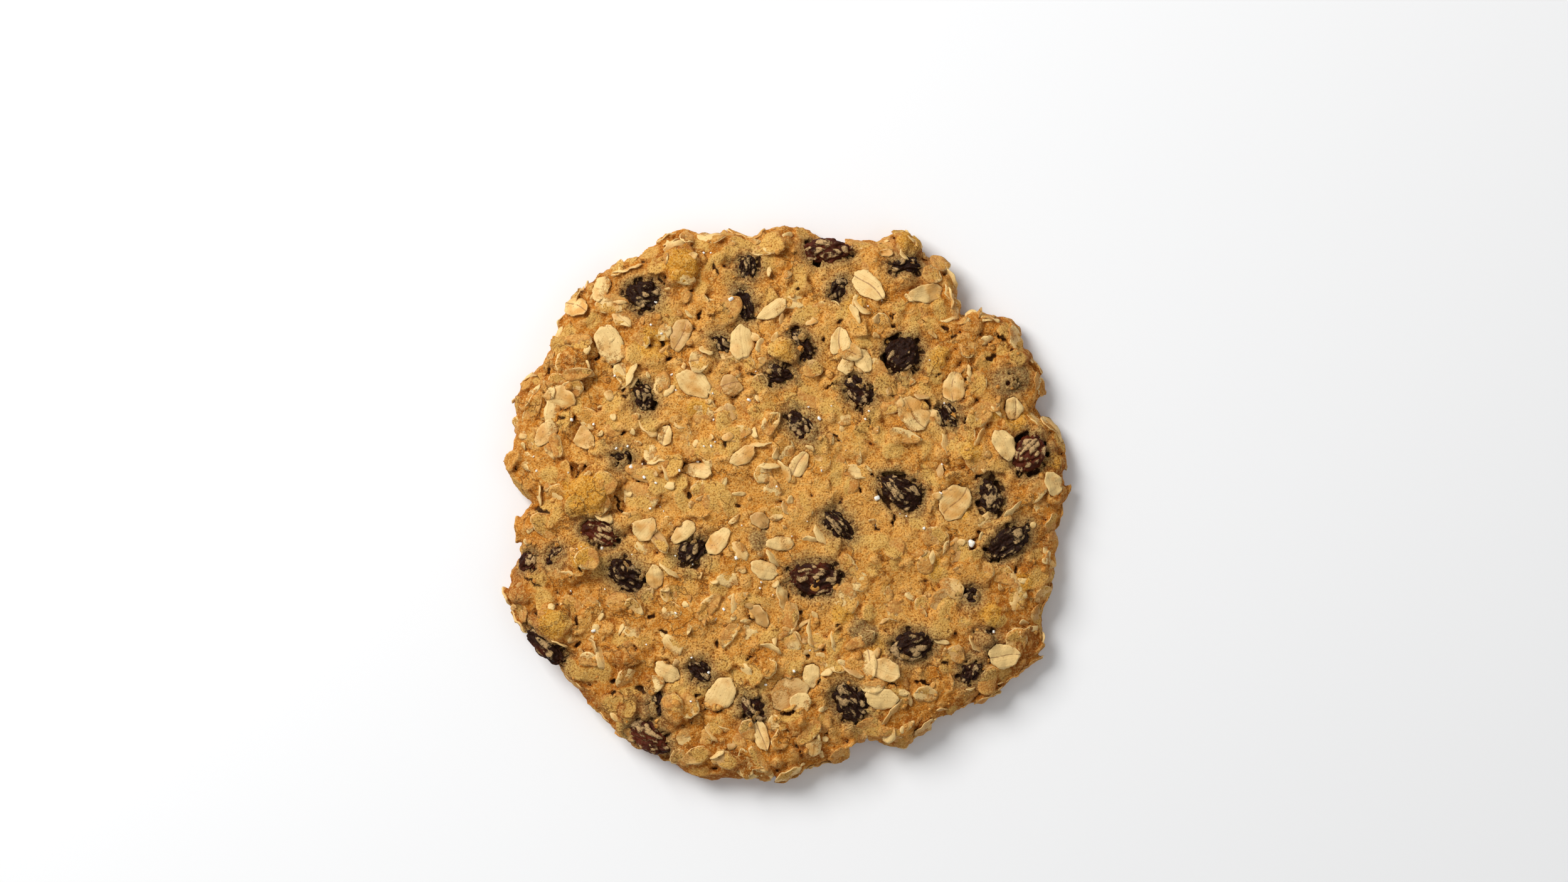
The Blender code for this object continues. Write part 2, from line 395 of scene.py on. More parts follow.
# Pits and splits seen in the crust: x, y, length, width, heading in degrees
SPLITS = (
    (-14.2, 13.5, 3.2, 0.9, -80), (19, 7, 4, 0.7, -50), (16.2, 3.4, 4, 0.6, -65),
    (16.5, 21, 3, 0.8, -55), (18.6, 18, 3.6, 0.6, -80), (11, 15, 5, 0.7, -38),
    (24, -3.5, 5, 0.8, -85), (20.2, -5.3, 2.6, 0.7, -52), (-38, 0, 5, 0.9, -76),
    (-32.8, 4.9, 3.6, 0.6, 8), (-38, 16, 4.2, 1.0, 5), (-51, 19.2, 2.6, 0.9, 20),
    (-55.6, -1.7, 5, 1.8, -20), (-57.5, -17.6, 6, 0.9, -32), (-16, 53, 4.4, 0.9, -72),
    (-7.6, 28.8, 4.4, 0.7, -34), (9.8, 26.5, 3.8, 0.6, 16), (31, -40.6, 5.2, 1.1, -16),
    (24, -40.8, 3.2, 0.7, -8), (38.7, -39, 2.2, 1.2, 30), (35.6, -36.2, 2.4, 1.0, -20),
    (51.5, -15.2, 2.8, 0.9, 70), (43.3, 6, 2.6, 0.9, 40), (24.5, 23.8, 3, 0.8, -30),
    (46, 33, 3.4, 1.6, 20), (2.4, 48.5, 1.6, 1.1, 0), (12, 41, 1.8, 1.2, 60),
    (8.1, 37, 1.6, 1.0, 90), (35.7, 39.5, 2.4, 1.3, -40), (30.7, 40.9, 2.0, 1.2, 20),
    (24, 42.3, 2.2, 1.1, 80), (24, 39.7, 1.8, 1.0, 0), (37.7, 37.8, 2.0, 1.0, 60),
    (48.8, 37.4, 2.4, 1.2, -30), (34.1, 29, 2.0, 0.9, 10), (-28, 36.4, 2.8, 1.2, 75),
    (-26.5, 32.5, 2.2, 1.1, 30), (-38.8, 30.8, 2.0, 1.0, 0), (-42.7, 33, 2.4, 1.1, 60),
    (-54, 30.2, 2.2, 1.0, 60), (-36.6, 24.3, 1.8, 1.0, 10), (-19.7, 42.5, 2.6, 1.1, 80),
    (-22, 1.8, 1.9, 1.5, 60), (-47.5, -26.5, 3.0, 1.2, 70), (-47.3, -32, 2.4, 1.1, 20),
    (-30.6, -25.5, 2.4, 1.2, 40), (-27.8, -29, 3.2, 1.2, -50), (-39, -40.5, 2.2, 1.2, 0),
    (-39, -43, 1.8, 1.0, 60), (-33, -42, 3.2, 1.6, -30), (-15.8, -31.7, 2.0, 1.0, 70),
    (-8.5, -35, 2.2, 0.9, 20), (4.5, -34.3, 2.4, 1.0, -80), (-8.5, -26.5, 1.8, 0.9, 0),
    (11.5, -27.5, 2.0, 0.9, 50), (3, -24.5, 1.6, 0.8, 0), (-20, -43.5, 2.2, 1.1, 40),
    (-11, -0.3, 1.6, 0.9, 0), (12.8, -22.7, 1.6, 0.8, 90), (-46.4, -14.8, 2.4, 0.9, 80),
    (-28.4, 50.2, 3.4, 0.8, -60), (-22, 47.5, 3.0, 0.8, 25), (39.8, 27.5, 2.4, 0.9, 30),
)


# Knobs of dough that stand proud: x, y and radius. More are scattered by seed
KNOBS = (
    (28, 58.7, 3.5), (0.2, 34.5, 3.2), (-53, -27.3, 4.6), (-36, -46.5, 3.3), (-25, -46.5, 3.5),
    (-60, -20.3, 2.8), (11.5, -56.3, 2.2), (-46, -12.7, 3.7), (-36.8, -34.8, 2.8), (2.3, -49, 3.4),
    (5.5, -54.5, 3.0), (53, 32.5, 2.6), (-48, 31, 3.5), (-24, 54, 4.6), (-45, 2, 5.2),
    (34, 32.8, 2.0), (41.5, 12, 1.8), (46.3, -25, 2.2), (-38, -5, 3.0), (60.3, 9.7, 2.0),
    (-30.5, 40, 3.0), (-31, 33, 2.4), (-19, 31, 2.0), (19, 20, 2.4), (24, 14, 2.2),
)
LOOSE_KNOBS = 190


def pit_distance(places):
    """How far each place is from the nearest pit or split: under 1 is inside it."""
    nearest = np.full(len(places), 3.0)
    for x, y, length, width, heading in SPLITS:
        turn = math.radians(heading)
        across = places[:, :2] - (x, y)
        along = across @ (math.cos(turn), math.sin(turn))
        aside = across @ (-math.sin(turn), math.cos(turn))
        wobble = np.sin(along * 2.3 + x) * 0.26 + np.sin(along * 6.1 + y) * 0.14
        away = np.hypot(along / (0.5 * length), (aside + wobble) / (0.42 * width))
        nearest = np.minimum(nearest, np.where(places[:, 2] > 4.0, away, 3.0))
    return nearest


def knob_rows():
    """The knobs of the table and the scattered ones, smaller towards the middle."""
    dice = random.Random(3)
    rows = list(KNOBS)
    while len(rows) < len(KNOBS) + LOOSE_KNOBS:
        turn, out = dice.uniform(0, 6.28), 63.0 * dice.uniform(0, 1) ** 0.42
        radius = dice.uniform(0.9, 1.5) + 1.1 * (out / 63.0) * dice.random()
        rows.append((out * math.cos(turn), out * math.sin(turn), radius))
    return rows


def knob_height(places):
    """The domes of the knobs, and how deep the groove round each one is."""
    height = np.zeros(len(places))
    groove = np.zeros(len(places))
    uneven = wander(places, 2.4, 2, seed=15)
    for x, y, radius in knob_rows():
        near = np.flatnonzero(np.hypot(places[:, 0] - x, places[:, 1] - y) < 1.8 * radius)
        near = near[places[near, 2] > 1.5]
        away = np.hypot(places[near, 0] - x, places[near, 1] - y) / radius + 0.34 * uneven[near]
        dome = 0.52 * radius * np.sqrt(np.clip(1.0 - away**2, 0.0, 1.0))
        height[near] = np.maximum(height[near], dome)
        groove[near] = np.maximum(groove[near], ease(0.34, 0.0, np.abs(away - 1.08)))
    return height, groove * (height < 0.1)


def lump_height(places):
    """The swell of the crumb over whole oats, which flakes ride on as well."""
    return 0.85 * wander(places, 7.0, 2, seed=1)


def relief(places, normals):
    """The crumb's height over the calm loaf, and the fields that its material reads."""
    upward = ease(-0.2, 0.4, normals[:, 2])
    under = ease(UNDERSIDE + 0.2, UNDERSIDE, normals[:, 2])
    from_middle = np.hypot(places[:, 0] - CALM_MIDDLE[0], places[:, 1] - CALM_MIDDLE[1])
    wild = 0.45 + 0.55 * ease(12.0, 52.0, from_middle)

    nearest, second = cells(places + 0.6 * wander(places, 3.0, 2, seed=2)[:, None], 3.6, seed=3)
    clods = 1.1 * (0.5 - nearest) - 0.6 * ease(0.2, 0.0, second - nearest)
    clods *= ease(-0.5, 0.2, wander(places, 11.0, 2, seed=4)) * wild
    crumbs = 0.28 * wander(places, 1.7, 2, seed=5)
    domes, groove = knob_height(places)

    first, next_one = cells(places + 1.3 * wander(places, 2.6, 2, seed=6)[:, None], 9.0, seed=7)
    crack = 9.0 * (next_one - first) + 1.4 * ease(0.4, 0.1, wander(places, 8.0, 2, seed=8))
    crack = crack * upward + 3.0 * (1.0 - upward)
    pores = cells(places + 0.8 * wander(places, 1.2, 2, seed=13)[:, None], 3.3, seed=11)[0] * 3.3
    pores += 1.5 * ease(0.3, 0.05, wander(places, 6.0, 2, seed=12))
    depth = np.maximum(0.8 * ease(0.6, 0.1, crack), 0.7 * ease(0.8, 0.3, pores))

    height = lump_height(places) * (0.7 + 0.3 * wild) + clods + crumbs + domes * (0.6 + 0.4 * wild)
    height -= 0.35 * groove
    height = height * (1.0 - 0.85 * under) - under * 0.25 - depth * (1.0 - 0.5 * under)
    fields = {"crack": crack, "pore": pores, "dome": domes + clods, "groove": groove}
    return height, fields


crumb_height, crumb_fields = relief(loaf_places, loaf_normals)
crust_places = loaf_places + loaf_normals * crumb_height[:, None]
print("crumb relief", round(crumb_height.min(), 2), "to", round(crumb_height.max(), 2), "mm")

# %% [markdown]
# ## Rolled oats
# A rolled oat is a steamed groat pressed flat: an oval flake of 5 to 9 mm, half a
# millimetre thick, with a crease where the groat's furrow was, curled a little by the
# oven. Some lie bare on the crust, but most wear a coat of dough. The bare ones are
# placed one by one and stay pieces of their own. The coated ones are scattered by seed and
# kneaded into the dough below, which rounds them and fills their corners as dough does.

# %% Flakes placed one by one
# x, y, length, width, heading in degrees, how much shows
CREASED_FLAKES = (
    (-47.3, 44.2, 7.0, 4.8, -28, 1), (-23.9, 38.1, 7.6, 4.6, 70, 0.9),
    (18.3, 49.2, 9, 5.2, -45, 1), (12, 36.2, 6.8, 4.6, 85, 1), (-12.3, 26.8, 5.4, 5, 5, 0.85),
    (37.7, 26.2, 6.8, 5.2, 85, 1), (28.6, 20.3, 8.5, 7, -50, 0.85), (37.8, 0.3, 8.5, 7, 55, 1),
    (51.3, 21.5, 5.2, 4.2, 85, 0.9), (-27.5, 15.3, 4.6, 3.4, 80, 0.8),
    (2.7, 8.7, 6.4, 3.8, 60, 1), (-5.8, -52.4, 7, 3.5, -75, 1), (49, -34.5, 7.2, 5.7, -5, 1),
)
FLAT_FLAKES = (
    (-42, 48.5, 6.5, 3.8, 80, 0.8), (-39.5, 45, 8, 4.4, 0, 0.55), (-40, 35.8, 9, 6, 110, 0.85),
    (-51.2, 23.9, 7.4, 5.4, -8, 1), (-10.2, 36.3, 7.8, 5.5, 85, 1), (-13.2, 43.5, 7.5, 5.5, 60, 0.7),
    (-20.9, 26.7, 8.5, 6, -40, 1), (31.5, 47.5, 8, 4.2, 10, 1), (49, 13.3, 7.5, 4.8, -60, 1),
    (-28.3, 26, 7.5, 4, 85, 0.6), (-3.2, 43.6, 7.6, 3.4, 35, 0.9), (4, 42.5, 8, 4.2, 30, 0.65),
    (17.2, 32.2, 5.5, 3.8, -65, 0.9), (13.3, 31, 5.2, 3.4, 60, 0.75), (40.7, 15.7, 5, 3.6, -60, 0.7),
    (33.5, -7.5, 6.5, 4.8, -10, 0.5), (40, -15.8, 7, 4.8, 25, 0.6), (60.2, 4.4, 6, 4.2, -60, 0.9),
    (-45.8, 14.8, 6, 4.4, -50, 0.9), (-41.5, 19, 6.5, 5, -60, 0.6), (-54.2, 16, 7, 4, 50, 0.85),
    (-33, 1.2, 8, 7, -20, 0.55), (-32, -5.6, 5.8, 5.2, 60, 1), (-23.3, -6.4, 6.6, 3.6, 42, 1),
    (-30, -16.4, 6, 4.2, -75, 1), (-9.8, 10.8, 6.4, 3.6, 35, 1), (-20, 7.5, 6.6, 3.6, -12, 0.9),
    (-3.3, 3.3, 5.6, 3.8, -70, 0.7), (-15.3, 2.8, 6.6, 4.2, -30, 0.7), (-15.5, -8.5, 7.2, 4.2, 50, 1),
    (-5, -14.9, 6.6, 4.2, -20, 1), (-1.5, -9, 6.4, 3.2, 0, 0.9), (16, 13, 4.8, 3.6, -60, 0.6),
    (20, -8.7, 6, 4.4, 15, 0.5), (-27, -38, 6.2, 4.2, -35, 1), (-32, -31, 5, 3.8, 20, 0.6),
    (-15, -43.2, 8.8, 6, 50, 1), (0.5, -43, 9, 7, 35, 0.8), (5.5, -38.9, 5.6, 3.8, 85, 1),
    (1, -31, 5.6, 4.6, -60, 0.5), (21.7, -37.4, 8, 5, -15, 1), (21.3, -43.8, 7.5, 5.2, -10, 1),
    (31.5, -51, 6, 4.6, 40, 0.8), (-43, 8, 7, 4.6, 20, 0.6), (-6, -3.8, 4.6, 3.4, -30, 0.9),
    (45.5, -3.5, 5.6, 3.4, 40, 0.6), (-36.5, -52, 5.5, 3.8, -40, 0.7), (38.2, -33.8, 5, 3.6, -55, 0.7),
    (-48, -37.5, 6, 4, -45, 0.7), (24, 12, 5.6, 4, 10, 0.55), (8, 0.5, 5.4, 3.8, 30, 0.55),
)
# Flakes that stand on edge and show as slivers
SLIVERS = (
    (-36, 29.3, 7.5, 3.0, 60, 1), (-26.5, 59.6, 4.5, 2.4, 25, 1), (-36, 53, 7, 2.2, 15, 1),
    (-51, 38.5, 5, 2.2, 60, 1), (-25.2, 57.4, 5, 2, 20, 1), (15.2, 42.3, 5.2, 2.4, -70, 1),
    (16.8, 44.4, 5.5, 2, -55, 1), (-3, 57.3, 5, 2, 0, 1), (-6, 35.6, 3.4, 2, 80, 1),
    (-18.3, 34.5, 3.8, 2, -25, 1), (36.7, 46.5, 5.5, 2.2, -70, 1), (36.5, 42, 4.2, 2, 15, 1),
    (45.2, 36.7, 3.4, 2, 15, 1), (38, 51.4, 6, 2.2, -45, 1), (42, 42.2, 3.8, 2, -70, 1),
    (26.3, 55.8, 3.2, 2, -60, 1), (30.6, 24.7, 3.8, 2.2, -5, 1), (36.4, 13.7, 7, 2.8, -80, 1),
    (43.5, 14.5, 6, 2, 65, 1), (51, -1.7, 5.5, 2.6, 40, 1), (60, 16.6, 7, 3, -60, 1),
    (34, 7.3, 4.2, 2.2, 75, 1), (-31.2, 17, 5.4, 2.2, -40, 1), (-24, 17.8, 3.4, 2, -35, 1),
    (-26.8, 7.5, 5, 2, -75, 1), (-29.3, 10, 4.5, 2, 18, 1), (-41, -3, 5, 2.2, -15, 1),
    (-26.5, -14.8, 6, 2, -40, 1), (-49, -16.2, 4.2, 2, -20, 1), (-56, 1.5, 5.5, 2.4, 75, 1),
    (-5.5, 14.1, 6.4, 2.4, 10, 1), (-0.7, 7.2, 5.8, 2.2, -65, 1), (-4, 9, 5, 2.2, -5, 1),
    (0, -1, 3.6, 2.2, -50, 1), (-3, -12, 5, 2.8, -55, 1), (8, -7.1, 6, 2.4, -50, 1),
    (5.2, -8.2, 3.4, 2, -5, 1), (-0.9, -21, 6, 2.2, -75, 1), (-11.3, -22.8, 5, 2.2, -85, 1),
    (-43.7, -32, 3.8, 2, -65, 1), (-41.3, -34.8, 5.2, 3, -75, 1), (-51.5, -31, 5, 2.4, -20, 1),
    (-38, -47.5, 3.8, 2, -40, 1), (5.5, -29.4, 6.4, 2.2, -85, 1), (-3.5, -32.7, 5, 2.4, -25, 1),
    (-9.5, -38, 4.4, 3, -50, 1), (-15.8, -56.4, 4, 2.2, 35, 1), (-16.8, -51.3, 5.5, 2.2, -65, 1),
    (-8.5, -60.6, 5.8, 2.8, -5, 1), (10.8, -31.2, 5, 2.2, -75, 1), (-6.2, -25.3, 6, 2.6, -50, 1),
    (15.3, -37.3, 6, 2.8, -20, 1), (24.5, -46.6, 8.5, 2.6, 45, 1), (42.3, -31.8, 4.8, 2, -50, 1),
    (23.2, -52.4, 4.6, 2.2, 65, 1), (31.3, -42.7, 3.8, 2.4, 0, 1),
)
FLAKE_THICKNESS = 0.5
STANDING_TILT = 48.0  # degrees that a sliver leans over


# %% One flake
class Flake:
    """A rolled oat: where it lies, its three directions, its size and its bend."""

    def __init__(self, place, up, heading, size, dice, shows=1.0, creased=0.0, tilt=0.0, dip=0.0, coat=0.0):
        self.length, self.width = size
        self.shows = shows
        self.coat = coat
        self.creased = creased
        self.curl = dice.uniform(-0.25, 0.7)
        self.cup = dice.uniform(-0.15, 0.6)
        self.ripple = dice.uniform(0.1, 0.3)
        self.phase = dice.uniform(0.0, 6.28)
        self.chip = dice.uniform(0.62, 0.9) if dice.random() < 0.25 else 2.0
        self.chip_side = dice.choice((0.0, 3.14)) + dice.gauss(0, 0.7)
        self.tone = dice.random()
        self.buried_side = dice.uniform(0.0, 6.28)
        self.standing = abs(tilt) > 0.6
        along = Vector((math.cos(heading), math.sin(heading), 0.0))
        along = (along - up * along.dot(up)).normalized()
        lean = Matrix.Rotation(math.radians(dice.gauss(0, 4)), 3, up.cross(along))
        up = lean @ Matrix.Rotation(tilt, 3, along) @ up
        # A flake that dips goes down into the dough on its buried side
        falling = along * math.cos(self.buried_side) + up.cross(along) * math.sin(self.buried_side)
        up = (up + falling * math.tan(dip)).normalized()
        along = (along - up * along.dot(up)).normalized()
        across = up.cross(along)
        self.axes = np.array((along, across, up)).T
        self.place = np.array(place)
        tip = math.hypot(along.z * self.length / 2.0, across.z * self.width / 2.0) + 0.3
        self.place[2] -= max(0.0, self.place[2] + tip - TOP_LIMIT)

    def half_out(self, angle, rise):
        """The same flake, tipped so that one side comes out of its coat of dough."""
        turned = copy.copy(self)
        side = self.axes @ (-math.sin(self.buried_side), math.cos(self.buried_side), 0.0)
        turned.axes = np.array(Matrix.Rotation(angle, 3, Vector(side))) @ self.axes
        turned.place = self.place + self.axes[:, 2] * rise
        return turned

    def edge(self, angle):
        """The outline's uneven radius, about 1, with a broken end on some flakes."""
        uneven = 1.0 + 0.06 * np.sin(3 * angle + self.phase) + 0.035 * np.sin(7 * angle - self.phase)
        facing = np.maximum(np.cos(angle - self.chip_side), 0.05)
        return np.minimum(uneven, self.chip / facing)

    def off_line(self, u, v):
        """Distance from the crease, which wanders along the flake's middle."""
        return v - 0.10 * self.width * np.sin(0.5 * u + self.phase)

    def bend(self, u, v):
        """Height of the flake's middle sheet at places along and across it."""
        far, wide = 2.0 * u / self.length, 2.0 * v / self.width
        sheet = -self.curl * far**2 - self.cup * wide**2
        sheet += self.ripple * np.sin(1.9 * u + self.phase) * wide
        furrow = np.exp(-((self.off_line(u, v) / 0.5) ** 2)) * ease(1.0, 0.7, np.abs(far - 0.1))
        return sheet - 0.38 * self.creased * furrow

    def local(self, places):
        return (places - self.place) @ self.axes

    def share(self, u, v):
        """0 at the middle of the flake and 1 at its rim."""
        x, y = 2.0 * u / self.length, 2.0 * v / self.width
        return np.hypot(x, y) / self.edge(np.arctan2(y, x))


# %% Lay the flakes
loaf_tree = BVHTree.FromPolygons(
    [Vector(p) for p in loaf_places], [tuple(f.vertices) for f in loaf_mesh.polygons]
)
raisin_shapes = {name: cad_shape(name) for name in raisin_nodes}
raisin_rounds = []
for shape in raisin_shapes.values():
    corners = np.array([v.co for v in shape.verts])
    raisin_rounds.append((corners.mean(0), np.ptp(corners, axis=0).max() / 2.0))


def seat_flake(spot, normal, heading, size, dice, rise, **looks):
    """A flake that lies on the crumb at a spot of the loaf."""
    near = np.linalg.norm(loaf_places - np.array(spot), axis=1) < 2.0
    lift = crumb_height[near].mean() if near.any() else 0.0
    return Flake(spot + normal * (lift + rise), normal, heading, size, dice, **looks)


def placed_flakes():
    """The flakes of the tables: creased, then flat, then slivers."""
    dice = random.Random(41)
    rows = [(*row, 1.0, 0.0) for row in CREASED_FLAKES]
    rows += [(*row, 0.2, 0.0) for row in FLAT_FLAKES]
    rows += [(*row, 0.0, STANDING_TILT) for row in SLIVERS]
    laid = []
    for x, y, length, width, heading, shows, creased, tilt in rows:
        spot, normal, _, _ = loaf_tree.ray_cast(Vector((x, y, 40.0)), Vector((0, 0, -1)))
        if spot is None:
            # Past the edge: the nearest place of the rim
            spot, normal, _, _ = loaf_tree.find_nearest(Vector((x, y, 6.0)))
        lean = math.radians(dice.choice((-1, 1)) * tilt + dice.gauss(0, 7))
        size = (length, width * 1.4 if tilt else width)
        rise = 0.0 if tilt else dice.uniform(0.1, 0.4) * shows
        looks = {"shows": shows, "creased": creased, "tilt": lean, "coat": 1.1 * (1.0 - shows)}
        looks["dip"] = math.radians(20.0 * (1.0 - shows) + 3.0)
        laid.append(seat_flake(spot, normal, math.radians(heading), size, dice, rise, **looks))
    return laid


def free_spots(count, wanted, spacing, taken, dice):
    """Random places of the loaf that suit, clear of the raisins and of those taken."""
    found = []
    order = list(range(len(loaf_places)))
    dice.shuffle(order)
    for index in order:
        place, normal = loaf_places[index], loaf_normals[index]
        if len(found) == count:
            break
        if not wanted(place, normal):
            continue
        if any(np.linalg.norm(place - middle) < half + 1.2 for middle, half in raisin_rounds):
            continue
        if taken and np.linalg.norm(np.array(taken) - place, axis=1).min() < spacing:
            continue
        taken.append(place)
        found.append((Vector(place), Vector(normal)))
    return found


def on_crust(place, normal):
    return normal[2] > -0.35 and place[2] > 2.0


def on_underside(place, normal):
    return normal[2] < -0.97 and math.hypot(place[0], place[1]) < 57.0


def scattered(spots, dice):
    """Flakes at the spots, with their size and dip drawn from the dice."""
    laid = []
    for spot, normal in spots:
        size = (dice.uniform(4.0, 7.8), dice.uniform(2.8, 5.4))
        looks = {"creased": dice.choice((0.0, 0.5, 1.0)), "dip": math.radians(dice.uniform(3, 24))}
        heading, rise = dice.uniform(0, 6.28), dice.uniform(-0.3, 0.3)
        laid.append(seat_flake(spot, normal, heading, size, dice, rise, **looks))
    return laid


def pressed(spots, dice):
    """Flakes that the tray has pressed flush into the underside."""
    laid = []
    for spot, normal in spots:
        size = (dice.uniform(4.6, 7.6), dice.uniform(3.2, 5.2))
        heading = dice.uniform(0, 6.28)
        flake = Flake(spot - normal * 0.34, normal, heading, size, dice, creased=0.3)
        flake.curl = flake.cup = flake.ripple = 0.0
        laid.append(flake)
    return laid


def broken(spots, dice):
    """Small broken bits of flake that stick to the crust at any angle."""
    laid = []
    for spot, normal in spots:
        size = (dice.uniform(1.6, 4.0), dice.uniform(1.0, 2.0))
        looks = {"dip": math.radians(dice.uniform(0, 35)), "coat": dice.uniform(-0.2, 0.7)}
        flake = seat_flake(spot, normal, dice.uniform(0, 6.28), size, dice, 0.25, **looks)
        flake.curl = flake.cup = 0.1
        flake.chip = dice.uniform(0.35, 0.8)
        laid.append(flake)
    return laid


scatter_dice = random.Random(7)
placed = placed_flakes()
slivers = [flake for flake in placed if flake.standing]
placed = [flake for flake in placed if not flake.standing]
taken = [flake.place for flake in placed]
coated = [flake for flake in placed if flake.shows < 0.75]
placed = [flake for flake in placed if flake.shows >= 0.75]
coated += scattered(free_spots(430, on_crust, 3.1, taken, scatter_dice), scatter_dice)
bits = broken(free_spots(210, on_crust, 1.6, taken, scatter_dice), scatter_dice)
under = pressed(free_spots(36, on_underside, 9.0, [], scatter_dice), scatter_dice)
print(len(placed), "placed flakes,", len(slivers), "slivers and", len(coated), "coated flakes")


# %% [markdown]
# ## Drawing a flake
# Each flake is a small grid drawn into an oval, bent, and given its thickness with
# solidify. The rim is thinned from below, because a rolled flake has a feathered edge.

# %% Draw a flake
FLAKE_LAYERS = ("tone", "rim", "furrow", "across", "coat")


def draw_flake(shape, layers, flake, steps, thickness=FLAKE_THICKNESS):
    """Adds one flake to a bmesh that holds the layers that the material reads."""
    tone, rim, furrow, across, coat = layers
    grid = bmesh.ops.create_grid(shape, x_segments=steps[0], y_segments=steps[1], size=1.0)
    sheet = grid["verts"]
    square = np.array([v.co[:2] for v in sheet])
    x = square[:, 0] * np.sqrt(1.0 - square[:, 1] ** 2 / 2.0)
    y = square[:, 1] * np.sqrt(1.0 - square[:, 0] ** 2 / 2.0)
    reach = flake.edge(np.arctan2(y, x)) * (1.0 + 0.025 * np.sin(19.0 * x + 13.0 * y + flake.phase))
    u, v = x * reach * flake.length / 2.0, y * reach * flake.width / 2.0
    rough = 0.09 * np.sin(2.6 * u + 1.9 * v + flake.phase) * np.sin(2.3 * v - 1.4 * u)
    buried = np.hypot(x, y) * np.cos(np.arctan2(y, x) - flake.buried_side)
    height = flake.bend(u, v) + rough + thickness / 2.0
    off_line = flake.off_line(u, v)
    for index, vert in enumerate(sheet):
        vert.co = (u[index], v[index], height[index])
        vert[tone] = flake.tone
        # rim runs from 0 in the middle to 1 at the edge: it thins the back and places the painted highlight
        vert[rim] = min(1.0, math.hypot(x[index], y[index]))
        vert[furrow] = flake.creased
        vert[across] = off_line[index]
        vert[coat] = flake.coat + (0.75 - 0.5 * flake.shows) * buried[index]
    faces = list({face for vert in sheet for face in vert.link_faces})
    made = bmesh.ops.solidify(shape, geom=faces, thickness=thickness)["geom"]
    back = {v for v in made if isinstance(v, bmesh.types.BMVert)} - set(sheet)
    for vert in back:
        vert.co.z += thickness * 0.6 * max(0.0, vert[rim] - 0.7) / 0.3
    axes = flake.axes
    for vert in [*sheet, *back]:
        place = flake.place + axes @ np.array(vert.co)
        vert.co = (place[0], place[1], max(0.0, place[2]))


def flake_shape(flakes, steps, thickness=FLAKE_THICKNESS):
    """A bmesh of the flakes, with the layers that the oats' material reads."""
    shape = bmesh.new()
    for name in FLAKE_LAYERS:
        shape.verts.layers.float.new(name)
    layers = [shape.verts.layers.float[name] for name in FLAKE_LAYERS]
    for flake in flakes:
        draw_flake(shape, layers, flake, steps, thickness)
    bmesh.ops.recalc_face_normals(shape, faces=shape.faces)
    return shape


# %% [markdown]
# ## Kneading the coated flakes in
# The crumb and the coated flakes are welded by a second voxel remesh. It leaves one
# skin in which each flake is a lump with a soft edge. The fields of the first skin are
# then read across from its nearest vertex.

# %% Knead
VOXEL = 0.43
COAT_THICKNESS = 0.95


def kneaded():
    """One skin round the crumb and the coated flakes."""
    put_places(loaf_mesh, crust_places)
    shape = flake_shape(coated, (7, 5), COAT_THICKNESS)
    bmesh.ops.scale(shape, vec=(MM, MM, MM), verts=shape.verts)
    shape.from_mesh(loaf_mesh)
    bmesh.ops.scale(shape, vec=(1 / MM, 1 / MM, 1 / MM), verts=shape.verts)
    return welded(shape, VOXEL, 1)


dough_mesh = kneaded()
dough_places = vertex_places(dough_mesh)
old_skin = KDTree(len(crust_places))
for index, place in enumerate(crust_places):
    old_skin.insert(place, index)
old_skin.balance()
found = [old_skin.find(place)[1:] for place in dough_places]
nearest = np.array([index for index, _ in found])
over_crumb = np.array([distance for _, distance in found])
calm_normals = loaf_normals[nearest]
fields = {name: values[nearest] for name, values in crumb_fields.items()}
print(len(dough_mesh.polygons), "faces after kneading")


# %% Where a coated flake lies under the skin
def film_over(places, flakes):
    """1 on the top of a coated flake, fading to 0 past its rim."""
    film = np.zeros(len(places))
    for flake in flakes:
        near = np.flatnonzero(np.linalg.norm(places - flake.place, axis=1) < 0.75 * flake.length)
        u, v, above = flake.local(places[near]).T
        on_top = ease(0.55, 0.2, np.abs(above - flake.bend(u, v) - COAT_THICKNESS / 2.0))
        on_top *= ease(1.1, 0.75, flake.share(u, v)) * (0.25 + 0.75 * flake.tone)
        film[near] = np.maximum(film[near], on_top)
    return film


# Some come half out of their coat, and these are drawn again as thin flakes
HALF_OUT = 0.55
out_dice = random.Random(29)
half_coated = []
for flake in coated:
    over_pit = pit_distance(flake.place[None, :])[0] < 2.2
    if out_dice.random() < HALF_OUT and not over_pit:
        tipped = flake.half_out(math.radians(out_dice.uniform(-11, -4)), out_dice.uniform(0.15, 0.35))
        tipped.coat = out_dice.uniform(0.05, 0.75)
        tipped.shows = 0.5
        half_coated.append(tipped)
oat_film = film_over(dough_places, coated)
for name in ("crack", "pore"):
    fields[name] = fields[name] + 3.0 * ease(0.25, 0.6, over_crumb)
fields["pit"] = pit_distance(dough_places)
dough_places -= calm_normals * (0.65 * ease(1.25, 0.4, fields["pit"]))[:, None]

